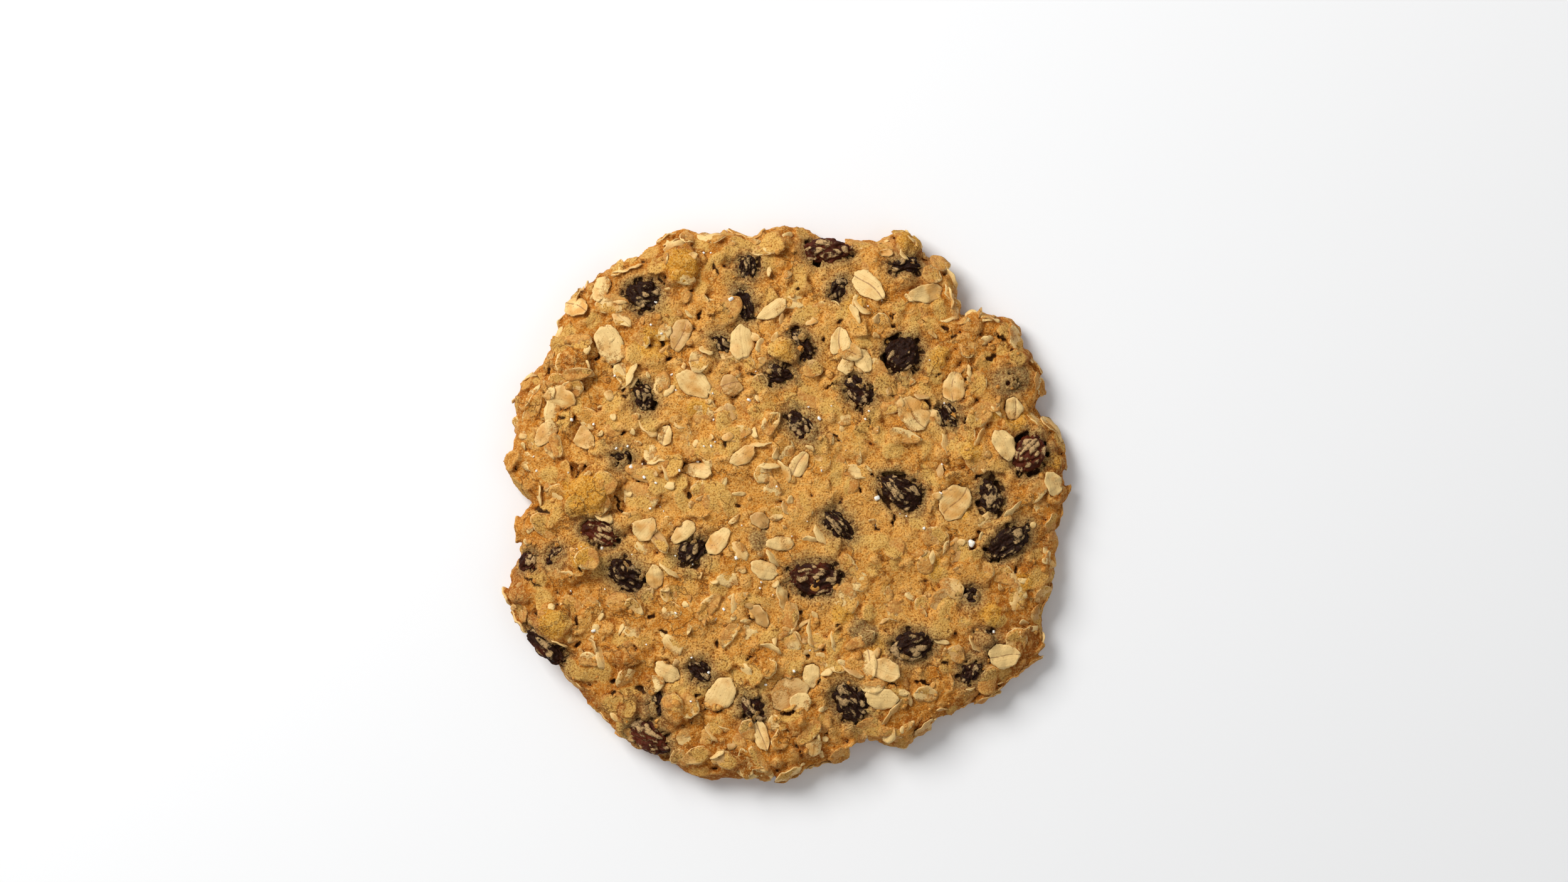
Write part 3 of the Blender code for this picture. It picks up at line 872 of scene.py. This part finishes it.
# %% Settle the dough round the flakes
def settle(places, flake, number):
    """Moves the dough near a flake: below it where it shows, over it where it is buried."""
    near = np.flatnonzero(np.linalg.norm(places - flake.place, axis=1) < 0.75 * flake.length + 1.0)
    u, v, above = flake.local(places[near]).T
    share = flake.share(u, v)
    gap = above - flake.bend(u, v)
    half = FLAKE_THICKNESS / 2.0
    ragged_edge = wander(places[near], 1.9, 2, seed=60 + number % 7)
    side = np.cos(np.arctan2(v, u) - flake.buried_side) * np.minimum(share, 1.0)
    covering = 1.5 * side * (1.3 - flake.shows) + 0.35 * (1.5 - flake.shows) * ease(0.6, 1.0, share)
    value = 2.0 * (flake.shows - 0.5) + 0.55 - covering + 0.7 * ragged_edge * (1.4 - flake.shows)
    bare = ease(-0.12, 0.12, value) * ease(1.4, 0.7, gap)
    skin = half + 0.14 + 0.08 * ragged_edge
    over_it = np.maximum(gap, skin)
    under_it = np.minimum(gap, -half - 0.15)
    inside = over_it + bare * (under_it - over_it)
    standing_out = ease(0.15, 0.8, -gap)
    beside = np.minimum(gap, half * (0.6 + 0.8 * ragged_edge))
    beside = np.maximum(beside, -0.8) - 0.25 * standing_out
    reach = ease(3.0, 2.0, np.abs(gap))
    rim_weight = ease(1.4, 1.02, share)
    move = np.where(share < 1.0, inside - gap, (beside - gap) * rim_weight) * reach
    moved = places.copy()
    moved[near] += move[:, None] * flake.axes[:, 2]
    return moved


for number, flake in enumerate(placed + under):
    dough_places = settle(dough_places, flake, number)
print("dough settled round", len(placed + under), "bare flakes")

# %% [markdown]
# ## Letting the raisins through
# A raisin shows where the dough has drawn back from it, mostly on one side, and stays
# under a thin film elsewhere. Each skin vertex near a raisin is moved along the
# raisin's own normal: inside the raisin where it shows, so that the raisin comes
# through, and just outside it where the dough still covers it.

# %% Draw the dough back from the raisins
FILM = 0.24  # dough over a covered raisin
TUCK = 1.15  # how far the skin goes inside a raisin that shows
RAISIN_REACH = 1.2


def bare_share(places, middle, half, looks, number):
    """1 where a raisin shows at the place, 0 where dough covers it."""
    shows, bearing, _ = looks
    turn = math.radians(bearing)
    offset = (places - middle)[:, :2] / half
    aside = offset @ (math.cos(turn), math.sin(turn))
    ragged_edge = wander(places, 1.9, 3, seed=20 + number)
    value = 2.0 * (shows - 0.5) + 0.25 - 0.5 * (offset**2).sum(1) * (1.25 - shows)
    return ease(-0.1, 0.1, value + 0.75 * aside * (1.25 - shows) + 0.95 * ragged_edge)


def uncover(places, normals):
    """Skin places drawn back from the raisins, and how near each is to a raisin."""
    moved = places.copy()
    juice = np.zeros(len(places))
    for number, name in enumerate(raisin_nodes):
        shape = raisin_shapes[name]
        tree = BVHTree.FromBMesh(shape)
        middle, half = raisin_rounds[number]
        near = np.flatnonzero(np.linalg.norm(places - middle, axis=1) < half + 5.0)
        bare = bare_share(places[near], middle, half, RAISIN_LOOKS[number], number)
        for index, share in zip(near, bare):
            spot, outward, _, distance = tree.find_nearest(places[index])
            outward = np.array(outward)
            above = math.copysign(distance, (places[index] - spot) @ outward)
            juice[index] = max(juice[index], math.exp(-max(above, 0.0) / 2.8))
            if above > RAISIN_REACH:
                continue
            if above < 0.45:
                covered = max(above, FILM)
                moved[index] += outward * (covered + share * (-TUCK - covered) - above)
            else:
                fade = 1.0 - (above - 0.45) / (RAISIN_REACH - 0.45)
                moved[index] -= normals[index] * 0.3 * share * fade
    return moved, juice


dough_places, juice = uncover(dough_places, calm_normals)
print("raisins let through:", len(raisin_shapes))

# %% [markdown]
# ## The dough piece
# The last touch is a powdery grain of a few tenths of a millimetre. The same numbers
# that shaped the crumb then colour it: hollows are painted dark as shade and the highs
# paler as a painted highlight, proud knobs and the rim are toasted, the crown stays pale,
# and the dough near a raisin is stained by its juice.
# Each is kept as an attribute, so the material needs no picture.

# %% Grain, and how hollow each place is
def around(mesh, numbers, rounds=1):
    """Each vertex's numbers averaged with its neighbours'."""
    ends = np.empty(len(mesh.edges) * 2, np.int32)
    mesh.edges.foreach_get("vertices", ends)
    ends = ends.reshape(-1, 2)
    valence = np.bincount(ends.ravel(), minlength=len(numbers)).astype(float)
    wide = numbers.reshape(len(numbers), -1)
    for _ in range(rounds):
        total = np.zeros_like(wide)
        for column in range(wide.shape[1]):
            total[:, column] += np.bincount(ends[:, 0], wide[ends[:, 1], column], len(wide))
            total[:, column] += np.bincount(ends[:, 1], wide[ends[:, 0], column], len(wide))
        wide = total / valence[:, None]
    return wide.reshape(numbers.shape)


def hollow_over(rounds):
    """How far each place lies below the average of its neighbourhood."""
    return ((around(dough_mesh, dough_places, rounds) - dough_places) * skin_normals).sum(1)


dough_places = 0.7 * dough_places + 0.3 * around(dough_mesh, dough_places)
put_places(dough_mesh, dough_places)
skin_normals = vertex_normals(dough_mesh)
under_share = ease(UNDERSIDE + 0.2, UNDERSIDE, calm_normals[:, 2])
powder = 0.16 * wander(dough_places, 1.3, 2, seed=90) * (1.0 - 0.7 * under_share)
# Crevices open as the crust dries, so the lows are drawn lower still
opened = 0.4 * ease(0.1, 0.45, hollow_over(5)) * (1.0 - under_share)
dough_places += skin_normals * (powder - opened)[:, None]
dough_places[:, 2] = np.clip(dough_places[:, 2], 0.0, TOP_LIMIT)
put_places(dough_mesh, dough_places)
skin_normals = vertex_normals(dough_mesh)
hollow = hollow_over(1)
low = hollow_over(7)
print("hollows", np.percentile(hollow, (5, 50, 95)).round(3), np.percentile(low, (2, 10, 50, 90, 98)).round(3))
print("dough spans", dough_places.min(0).round(2), "to", dough_places.max(0).round(2), "mm")

# %% What the oven and the fruit did to it
# Yellow patches where butter browned, and places where a buried raisin shows through
GOLDEN_SPOTS = (
    (34, 32.8, 3), (41.5, 12, 2.5), (39.8, -2, 2), (32.5, -14.8, 2.5), (46.3, -25, 3),
    (53.3, -18, 2.5), (51.7, 18.5, 2.5), (46.5, 20.5, 2), (60.3, 9.7, 2.5), (-46, -11, 4),
    (12.5, -25, 2.5), (20.5, -33, 2.5), (0.2, 34.5, 3.2), (-24, 54, 5), (-45, 2, 6),
    (-53, -27.3, 4.5), (28, 58.7, 3.5), (-30, 36, 4), (15, 45, 3), (-20, 21, 3),
)
BURIED_FRUIT = ((-6.5, -8, 3.2), (17, -29, 3.6), (52, 28, 2.4))


def spots(places, table):
    """1 in the middle of any spot of x, y and radius, fading to 0 past its ragged edge."""
    most = np.zeros(len(places))
    edge = wander(places, 2.5, 2, seed=33)
    for x, y, radius in table:
        away = np.hypot(places[:, 0] - x, places[:, 1] - y) / radius + 0.45 * edge
        most = np.maximum(most, ease(1.25, 0.45, away))
    return most


def dress(mesh, places, normals):
    """Keeps the crust's browning and staining, and its painted shade and highlight, on the mesh."""
    under = ease(UNDERSIDE + 0.2, UNDERSIDE, normals[:, 2])
    out = np.hypot(places[:, 0], places[:, 1])
    patchy = wander(places, 9.0, 3, seed=40)
    rim = ease(40.0, 62.0, out + 5.0 * patchy)
    proud = ease(0.1, 1.0, fields["dome"]) * (0.35 + 0.65 * rim)
    # Browner towards the lower right
    browner_lower_right = 0.22 * ease(15.0, -60.0, places[:, 1]) + 0.10 * ease(0.0, 60.0, places[:, 0])
    toast = 0.08 + 0.42 * rim + 0.30 * proud + 0.24 * patchy + 0.25 * ease(60.0, 64.0, out) + browner_lower_right
    toast = toast * (1.0 - under) + (0.62 + 0.35 * patchy) * under
    # Painted shade in the creases, and in the grooves round the knobs on the crust
    crease = around(mesh, ease(0.01, 0.10, hollow), 1)
    crease = np.maximum(crease, 0.6 * fields["groove"] * (1.0 - under))
    store(mesh, "toast", np.clip(toast, 0, 1))
    store(mesh, "crease", np.clip(crease, 0, 1))
    store(mesh, "knob", np.clip(around(mesh, ease(-0.015, -0.08, hollow), 2), 0, 1))
    # low is above 0.5 in hollows and below it on highs: the material paints shade and a highlight with it
    store(mesh, "low", np.clip(0.5 + 0.9 * low, 0, 1))
    store(mesh, "stain", np.clip(juice * 0.8 + 0.85 * spots(places, BURIED_FRUIT), 0, 1))
    store(mesh, "golden", spots(places, GOLDEN_SPOTS) * (1.0 - under))
    store(mesh, "oat_film", around(mesh, oat_film, 1) * (1.0 - under))
    for name in ("crack", "pit", "pore"):
        store(mesh, name, fields[name])


dress(dough_mesh, dough_places, calm_normals)


# %% Thin out the underside
DOUGH_FACES = 188000


def dough_piece(mesh, look):
    """The dough as an object, with fewer faces on its flat underside."""
    mesh.name = "baked_dough"
    made = bpy.data.objects.new("baked_dough", mesh)
    bpy.context.scene.collection.objects.link(made)
    mesh.materials.clear()
    mesh.materials.append(look)
    mesh.shade_smooth()
    flat = made.vertex_groups.new(name="underside")
    down = np.flatnonzero((calm_normals[:, 2] < UNDERSIDE) & (dough_places[:, 2] < 1.2))
    flat.add(down.tolist(), 1.0, "REPLACE")
    thin = made.modifiers.new("thin_underside", "DECIMATE")
    thin.ratio = DOUGH_FACES / (2.0 * len(mesh.polygons))
    thin.vertex_group = "underside"
    thin.vertex_group_factor = 1.5
    # The first pass spares the crust, so a second one takes the rest from its calm places
    bpy.context.view_layer.update()
    graph = bpy.context.evaluated_depsgraph_get()
    left = sum(len(f.vertices) - 2 for f in made.evaluated_get(graph).data.polygons)
    even = made.modifiers.new("thin_evenly", "DECIMATE")
    even.ratio = min(1.0, DOUGH_FACES / left)
    graph = bpy.context.evaluated_depsgraph_get()
    light = bpy.data.meshes.new_from_object(made.evaluated_get(graph))
    made.modifiers.clear()
    made.vertex_groups.clear()
    made.data = light
    light.name = "baked_dough"
    # Thinning moves vertices a little, so they are held to the table and the top again
    held = vertex_places(light)
    held[:, 2] = np.clip(held[:, 2], 0.0, TOP_LIMIT)
    put_places(light, held)
    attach(made, "root")
    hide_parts("dough")
    return made


# %% [markdown]
# ## Baked dough
# Oat dough bakes to a dry, powdery tan with no gloss. It could be one brown with noise,
# but real crust shows where each patch lay in the oven, so the colour is built in
# layers: pale crumb, toasted rim and knobs, golden spots, painted highlight on the highs,
# painted shade in the lows, creases, cracks, pits and pinholes, juice round the fruit,
# and flecks of bran on top.

# %% The dough's material
def dough_material():
    made, shader, place = new_material("baked_dough", 0.82)
    toast, crease, low = stored(place, "toast"), stored(place, "crease"), stored(place, "low")
    broad = grain(place, 8.0, 3.0)
    patch = grain(place, 2.2, 3.0, 0.6)
    fine = grain(place, 0.42, 3.0, 0.7)
    ragged = (patch - 0.5) * 0.5 + (fine - 0.5) * 0.9

    # Pale crumb, browner with the toasting; painted highlight on highs, painted shade in lows
    crust = blended(tint(230, 165, 78), tint(214, 140, 50), (broad + ragged * 0.6).step(0.35, 0.65))
    brown = toast + (patch - 0.5) * 0.7 + (broad - 0.5) * 0.5
    crust = blended(crust, tint(197, 122, 36), brown.step(0.12, 0.62))
    crust = blended(crust, tint(146, 72, 6), brown.step(0.58, 1.05) * 0.85)
    # Painted highlight on the highs and painted shade in the lows, read from the stored low
    high = (0.5 - low + ragged * 0.12).step(0.02, 0.2)
    crust = blended(crust, tint(241, 183, 102), high * (0.78 - toast * 0.4))
    crust = blended(crust, tint(164, 96, 26), (low - 0.5 + ragged * 0.14).step(0.03, 0.2) * 0.68)
    film = (stored(place, "oat_film") + ragged * 0.6).step(0.3, 0.7)
    crust = blended(crust, tint(224, 178, 92), film * 0.7)
    golden = (stored(place, "golden") + ragged * 0.5).step(0.3, 0.8)
    crust = blended(crust, tint(228, 164, 52), golden * 0.6)
    knob = (stored(place, "knob") + ragged * 0.5).step(0.3, 0.9)
    crust = blended(crust, tint(224, 168, 76), knob * 0.4)
    # Painted shade in the creases and grooves
    crust = blended(crust, tint(150, 78, 8), (crease + ragged * 0.5).step(0.15, 0.6) * 0.75)
    # Painted shade along a net of hairline cracks, which the bump also presses in
    line = (crack_distance(place, 6.5, 5.0) + ragged * 0.3).step(0.22, 0.05)
    line = line * (broad + ragged * 0.3).step(0.49, 0.57)
    crust = blended(crust, tint(122, 64, 12), line * 0.65)
    juice = (stored(place, "stain") + ragged * 0.6).step(0.15, 0.75)
    crust = blended(crust, tint(142, 118, 76), juice * 0.82)

    # The powdery grain: light and dark specks of a few tenths of a millimetre
    crust = blended(crust, tint(234, 192, 116), fine.step(0.47, 0.34) * 0.5)
    crust = blended(crust, tint(146, 78, 12), fine.step(0.50, 0.62) * (0.65 + juice * 0.3))
    crust = blended(crust, tint(70, 44, 22), fine.step(0.55, 0.66) * juice * 0.8)
    flour = grain(place, 0.8, 2.0).step(0.55, 0.66)
    crust = blended(crust, tint(232, 188, 110), flour * 0.4)
    bran = (grain(place, 0.4, 2.0) + (patch - 0.5) * 0.2).step(0.64, 0.71)
    crust = blended(crust, tint(92, 42, 3), bran * 0.7)

    # Painted shade: cracks, pits, pores and the deepest creases are painted nearly black inside
    crack = (stored(place, "crack") + ragged * 0.35).step(0.30, 0.12)
    pit = (stored(place, "pit") + ragged * 1.2).step(0.95, 0.6)
    pore = (stored(place, "pore") + ragged * 0.3).step(0.42, 0.28)
    fold = (crease * 0.7 + (low - 0.5) * 1.3 + ragged * 1.3).step(0.78, 0.92)
    deep = crack.math("MAXIMUM", crack.math("MAXIMUM", crack, pit), crack.math("MAXIMUM", pore, fold))
    feed(shader, "Base Color", blended(crust, tint(46, 17, 0), deep * 0.9))
    feed(shader, "Roughness", 0.78 + fine * 0.16)
    feed(shader, "Normal", bumps(patch * 0.4 + fine * 0.9 - line * 0.5 - deep * 0.5, 0.5, 1.0))
    shader.inputs["Specular IOR Level"].default_value = 0.15
    return made


baked_dough = dough_material()
dough = dough_piece(dough_mesh, baked_dough)
print("baked dough:", sum(len(f.vertices) - 2 for f in dough.data.polygons), "triangles")

# %% [markdown]
# ## Raisins
# A raisin is a grape shrunk by two thirds, so its skin has folded into ridges that
# mostly run along it. The solid raisin is smoothed into an even skin, which is then
# drawn inwards along ridged noise: broad folds first, then fine creases. Dough has
# left a thin film on the ridges, and some skins are a redder red-brown.

# %% The raisin skin's material
def raisin_material():
    made, shader, place = new_material("raisin_skin", 0.5)
    fold, red, up = (stored(place, name) for name in ("fold", "red", "up"))
    fine = grain(place, 0.45, 3.0, 0.7)
    middling = grain(place, 1.3, 3.0, 0.65)
    broad = grain(place, 3.4, 2.0, 0.6)
    ragged = (fine - 0.5) * 2.0 + (middling - 0.5) * 1.6
    skin = blended(tint(36, 15, 4), tint(88, 33, 11), (red + (broad - 0.5) * 1.6).step(0.35, 1.1))
    skin = blended(skin, tint(76, 38, 14), fine.step(0.5, 0.7) * 0.5)
    coated = (up * 0.8 + (broad - 0.5) * 2.4).step(0.3, 0.9)
    film = (coated + 0.38 - fold * 1.1 + ragged * 1.0).step(0.4, 0.85)
    dusty = blended(tint(148, 120, 80), tint(202, 164, 112), (red * 0.3 + middling).step(0.35, 0.7))
    skin = blended(skin, dusty, film * 0.9)
    speck = fine.step(0.52, 0.62)
    feed(shader, "Base Color", blended(skin, tint(44, 24, 12), speck * film * 0.75))
    feed(shader, "Roughness", 0.4 + film * 0.4 + fine * 0.1)
    feed(shader, "Normal", bumps(fine * 0.8 + film * 0.6, 0.3, 1.0))
    shader.inputs["Specular IOR Level"].default_value = 0.12
    return made


# %% Fold each raisin's skin
FOLD_DEPTH = 0.66
WART_DEPTH = 0.4
SKIN_GROWTH = 0.2  # the smoothing draws a solid in by about this much


def smooth_copy(name, levels):
    """The solid's skin in millimetres, subdivided until its facets are gone."""
    shape = cad_shape(name, SKIN_GROWTH)
    bmesh.ops.scale(shape, vec=(MM, MM, MM), verts=shape.verts)
    mesh = bpy.data.meshes.new("skin")
    shape.to_mesh(mesh)
    shape.free()
    holder = bpy.data.objects.new("skin", mesh)
    bpy.context.scene.collection.objects.link(holder)
    calm = holder.modifiers.new("calm", "SUBSURF")
    calm.levels = calm.render_levels = levels
    graph = bpy.context.evaluated_depsgraph_get()
    made = bpy.data.meshes.new_from_object(holder.evaluated_get(graph))
    bpy.data.objects.remove(holder)
    return made


def furrowed(field, width):
    """Narrow furrows where a field crosses 0, with rounded ridges between them."""
    return (1.0 - np.minimum(np.abs(field) / width, 1.0)) ** 1.4


def raisin_piece(name, number, look):
    mesh = smooth_copy(name, 3)
    places = vertex_places(mesh)
    normals = vertex_normals(mesh)
    middle = places.mean(0)
    _, _, axes = np.linalg.svd(places - middle, full_matrices=False)
    lengthwise = (places - middle) @ axes.T / (1.9, 1.0, 1.0) + 40.0 * number
    broad = furrowed(wander(lengthwise, 2.4, 2, seed=3), 0.42)
    creases = furrowed(wander(lengthwise, 1.3, 1, seed=4), 0.36)
    folded = FOLD_DEPTH * broad + WART_DEPTH * creases
    swell = 0.08 * wander(places, 0.7, 2, seed=6) + 0.35 * wander(places, 4.0, 1, seed=7)
    places -= normals * (folded - swell)[:, None]
    places[:, 2] = np.clip(places[:, 2], 0.0, TOP_LIMIT)
    put_places(mesh, places)
    store(mesh, "fold", np.clip(folded / 0.5, 0, 1))
    store(mesh, "up", np.clip(normals[:, 2], 0, 1))
    store(mesh, "red", np.full(len(places), RAISIN_LOOKS[number][2]))
    mesh.name = "skin_" + name
    mesh.materials.clear()
    mesh.materials.append(look)
    mesh.shade_smooth()
    made = bpy.data.objects.new("skin_" + name, mesh)
    bpy.context.scene.collection.objects.link(made)
    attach(made, "root")
    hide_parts(name)
    return made


raisin_skin = raisin_material()
raisins = [raisin_piece(name, number, raisin_skin) for number, name in enumerate(raisin_nodes)]
print("raisins:", sum(2 * len(r.data.polygons) for r in raisins), "triangles")

# %% [markdown]
# ## The bare flakes
# The flakes were laid above, so that the dough could settle round them. Now they are
# drawn again at their own thickness and joined, one piece for those that lie flat and
# one for the slivers that stand on edge.

# %% Join the bare flakes
dough_tree = BVHTree.FromPolygons(
    [Vector(p) for p in dough_places], [tuple(f.vertices) for f in dough_mesh.polygons]
)


def flake_piece(name, flakes, steps, look):
    shape = flake_shape(flakes, steps)
    top = max(vert.co.z for vert in shape.verts)
    print(name, len(flakes), "flakes,", len(shape.faces), "faces, top at", round(top, 2), "mm")
    return as_piece(name, shape, look)


def on_skin(flake):
    """The flake moved along its normal to the finished skin."""
    spot, _, _, _ = dough_tree.find_nearest(Vector(flake.place))
    flake.place = np.array(spot) + flake.axes[:, 2] * 0.1
    return flake


# %% The oats' material
def oat_material():
    made, shader, place = new_material("rolled_oat", 0.72)
    tone, rim, furrow, across, coat = (stored(place, name) for name in FLAKE_LAYERS)
    fine = grain(place, 0.42, 3.0, 0.7)
    patch = grain(place, 1.8, 3.0, 0.6)
    broad = grain(place, 4.0, 1.0)
    ragged = (patch - 0.5) * 1.1 + (fine - 0.5) * 0.6
    stripes = across.node(
        "ShaderNodeTexNoise", {"noise_dimensions": "1D"}, W=across + tone * 40.0, Scale=2.4, Detail=2.0
    )
    bran = (tone * 0.7 + (broad - 0.5) * 2.0 + (patch - 0.5)).step(0.1, 0.9)
    flake = blended(tint(232, 194, 124), tint(208, 148, 66), bran)
    flake = blended(flake, tint(178, 134, 74), tone.step(0.84, 0.88) * 0.6)
    flake = blended(flake, tint(196, 142, 66), stripes.step(0.5, 0.68) * 0.22)
    # Painted highlight along each flake's thin rim
    flake = blended(flake, tint(234, 198, 130), (rim + ragged * 0.4).step(0.78, 1.05) * 0.55)
    line = across.math("ABSOLUTE", across + (fine - 0.5) * 0.3).step(0.24, 0.02) * furrow
    flake = blended(flake, tint(128, 76, 22), line * 0.75 * patch.step(0.3, 0.5))
    # The coat of dough, thickest where the flake goes under
    dough = blended(tint(214, 156, 72), tint(186, 116, 32), (patch + fine * 0.4).step(0.5, 0.9))
    dough = blended(dough, tint(132, 70, 10), fine.step(0.51, 0.64) * 0.5)
    dough = blended(dough, tint(234, 196, 122), fine.step(0.47, 0.34) * 0.4)
    smear = (coat * 1.1 + 0.1 - rim * 0.15 + ragged).step(0.3, 0.6)
    flake = blended(flake, dough, smear * 0.92)
    fleck = grain(place, 0.4, 1.0).step(0.65, 0.72)
    feed(shader, "Base Color", blended(flake, tint(124, 72, 20), fleck * 0.5))
    feed(shader, "Roughness", 0.6 + smear * 0.2)
    feed(shader, "Normal", bumps(fine * (0.35 + smear * 0.4) + smear * 0.4 + stripes * 0.15, 0.35, 0.8))
    return made


rolled_oat = oat_material()
flake_piece("rolled_oats", placed, (14, 9), rolled_oat)
flake_piece("oat_slivers", slivers, (8, 3), rolled_oat)
flake_piece("pressed_oats", under, (8, 5), rolled_oat)
flake_piece("coated_oats", half_coated, (9, 6), rolled_oat)
flake_piece("oat_bits", [on_skin(flake) for flake in bits], (5, 4), rolled_oat)

# %% [markdown]
# ## Crumbs and sugar
# Loose dough crumbs of about a millimetre stick to the crust, more towards the rim, and
# coarse sugar leaves white grains. Both are repeated hundreds of times, so a crumb is
# an icosphere of a few dozen faces pushed about by noise, and a grain is a bevelled
# block. Each kind is joined into one piece and sunk a little into the dough.

# %% Loose crumbs
CRUMBS = 260


def crust_spot(dice, least_out=0.0):
    """A place on the finished crust and its normal, anywhere on the top or the sides."""
    while True:
        x, y = dice.uniform(-64, 64), dice.uniform(-64, 64)
        out = math.hypot(x, y)
        if least_out < out < 64.0 and dice.random() < 0.35 + 0.65 * out / 64.0:
            spot, normal, _, _ = dough_tree.ray_cast(Vector((x, y, 40)), Vector((0, 0, -1)))
            if spot is not None and spot.z > 1.0:
                return spot, normal


CRUMB_LAYERS = ("toast", "knob", "low", "crack", "pit", "pore")


def crumb_piece(look):
    shape = bmesh.new()
    for name in CRUMB_LAYERS:
        shape.verts.layers.float.new(name)
    layers = {name: shape.verts.layers.float[name] for name in CRUMB_LAYERS}
    dice = random.Random(19)
    for _ in range(CRUMBS):
        spot, normal = crust_spot(dice)
        radius = min(1.1, 0.28 + dice.expovariate(4.0), 0.8 * (TOP_LIMIT + 0.2 - spot.z))
        turn = normal.to_track_quat("Z", "Y").to_matrix().to_4x4()
        flat = Matrix.Diagonal((dice.uniform(0.8, 1.25), dice.uniform(0.7, 1.1), dice.uniform(0.55, 0.9), 1))
        turn = turn @ Matrix.Rotation(dice.uniform(0, 6.28), 4, "Z") @ flat
        put = Matrix.Translation(spot + normal * radius * 0.12) @ turn
        made = bmesh.ops.create_icosphere(shape, subdivisions=2, radius=radius, matrix=put)
        out = math.hypot(spot.x, spot.y) / 64.0
        toast = min(1.0, max(0.0, 0.05 + 0.45 * out + dice.gauss(0, 0.15)))
        middle = spot.copy()
        for vert in made["verts"]:
            away = vert.co - middle
            vert.co = middle + away * (1.0 + 0.42 * noise.noise(vert.co * (1.4 / radius)))
            vert.co.z = max(0.0, vert.co.z)
            vert[layers["toast"]] = toast
            vert[layers["knob"]] = 0.4
            # A low of 0.4 gives each crumb part of the painted highlight of the highs
            vert[layers["low"]] = 0.4
            for far in ("crack", "pit", "pore"):
                vert[layers[far]] = 3.0
    print("crumbs:", len(shape.faces), "faces")
    return as_piece("crumbs", shape, look)


crumb_piece(baked_dough)

# %% Sugar grains
# The larger grains: x, y and size
LARGE_GRAINS = (
    (41.2, -9, 1.8), (-12.7, 46, 1.2), (20.3, 1.2, 1.2), (-35, 8.2, 1.1), (7.3, 19.2, 1.0),
    (-43.6, -28.7, 1.0), (-17.5, -38.1, 0.9), (14.3, -43.6, 0.9), (-38.5, -16.7, 0.9),
    (34.4, 2.3, 0.9), (30.9, -5.5, 0.9), (-11.4, -12.2, 0.8), (-29.4, 45.4, 0.9),
    (-8.5, 23.3, 0.9),
)
SMALL_GRAINS = 90


def sugar_material():
    made, shader, place = new_material("sugar", 0.3)
    cloudy = grain(place, 0.5, 2.0).step(0.35, 0.7)
    feed(shader, "Base Color", blended(tint(250, 246, 238), tint(236, 222, 196), cloudy))
    feed(shader, "Roughness", 0.22 + cloudy * 0.3)
    shader.inputs["Subsurface Weight"].default_value = 0.4
    shader.inputs["Subsurface Radius"].default_value = (0.0006, 0.0006, 0.0005)
    return made


def sugar_piece(look):
    shape = bmesh.new()
    dice = random.Random(23)
    rows = [*LARGE_GRAINS]
    while len(rows) < len(LARGE_GRAINS) + SMALL_GRAINS:
        x, y = dice.gauss(-14, 28), dice.gauss(2, 28)
        if math.hypot(x, y) < 60:
            rows.append((x, y, dice.uniform(0.3, 0.75)))
    for x, y, size in rows:
        spot, normal, _, _ = dough_tree.ray_cast(Vector((x, y, 40)), Vector((0, 0, -1)))
        turn = Matrix.Rotation(dice.uniform(0, 6.28), 4, (dice.random(), dice.random(), 1))
        flat = Matrix.Diagonal((size, size * dice.uniform(0.6, 0.9), size * dice.uniform(0.4, 0.7), 1))
        put = Matrix.Translation(spot + normal * size * 0.18) @ turn @ flat
        made = bmesh.ops.create_cube(shape, size=1.0, matrix=put)
        edges = list({edge for vert in made["verts"] for edge in vert.link_edges})
        bmesh.ops.bevel(
            shape, geom=edges, offset=size * 0.14, affect="EDGES", segments=1, profile=0.5, material=-1
        )
    print("sugar:", len(rows), "grains")
    return as_piece("sugar_grains", shape, look)


sugar_piece(sugar_material())

# %% [markdown]
# ## The table, and the sizes
# A plain pale table catches the soft shadow. It is marked as a stage, so it isn't part
# of the cookie. The sizes before and after dressing are kept, to show that the crumb
# has stayed inside the solid cookie's box but for a few tenths of a millimetre.

# %% Table
table_shape = bmesh.new()
bmesh.ops.create_grid(table_shape, x_segments=1, y_segments=1, size=1.5)
table_mesh = bpy.data.meshes.new("table")
table_shape.to_mesh(table_mesh)
table_shape.free()
table = bpy.data.objects.new("table", table_mesh)
bpy.context.scene.collection.objects.link(table)
table_look, table_shader, _ = new_material("table", 0.6)
table_shader.inputs["Base Color"].default_value = (0.9, 0.9, 0.9, 1.0)
table_mesh.materials.append(table_look)
table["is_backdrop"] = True

# %% Sizes
dressed_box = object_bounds()
sizes = {"cad": [list(corner) for corner in cad_box], "visual": [list(corner) for corner in dressed_box]}
for label, (low, high) in sizes.items():
    print(label, [round((b - a) / MM, 2) for a, b in zip(low, high)], "mm")
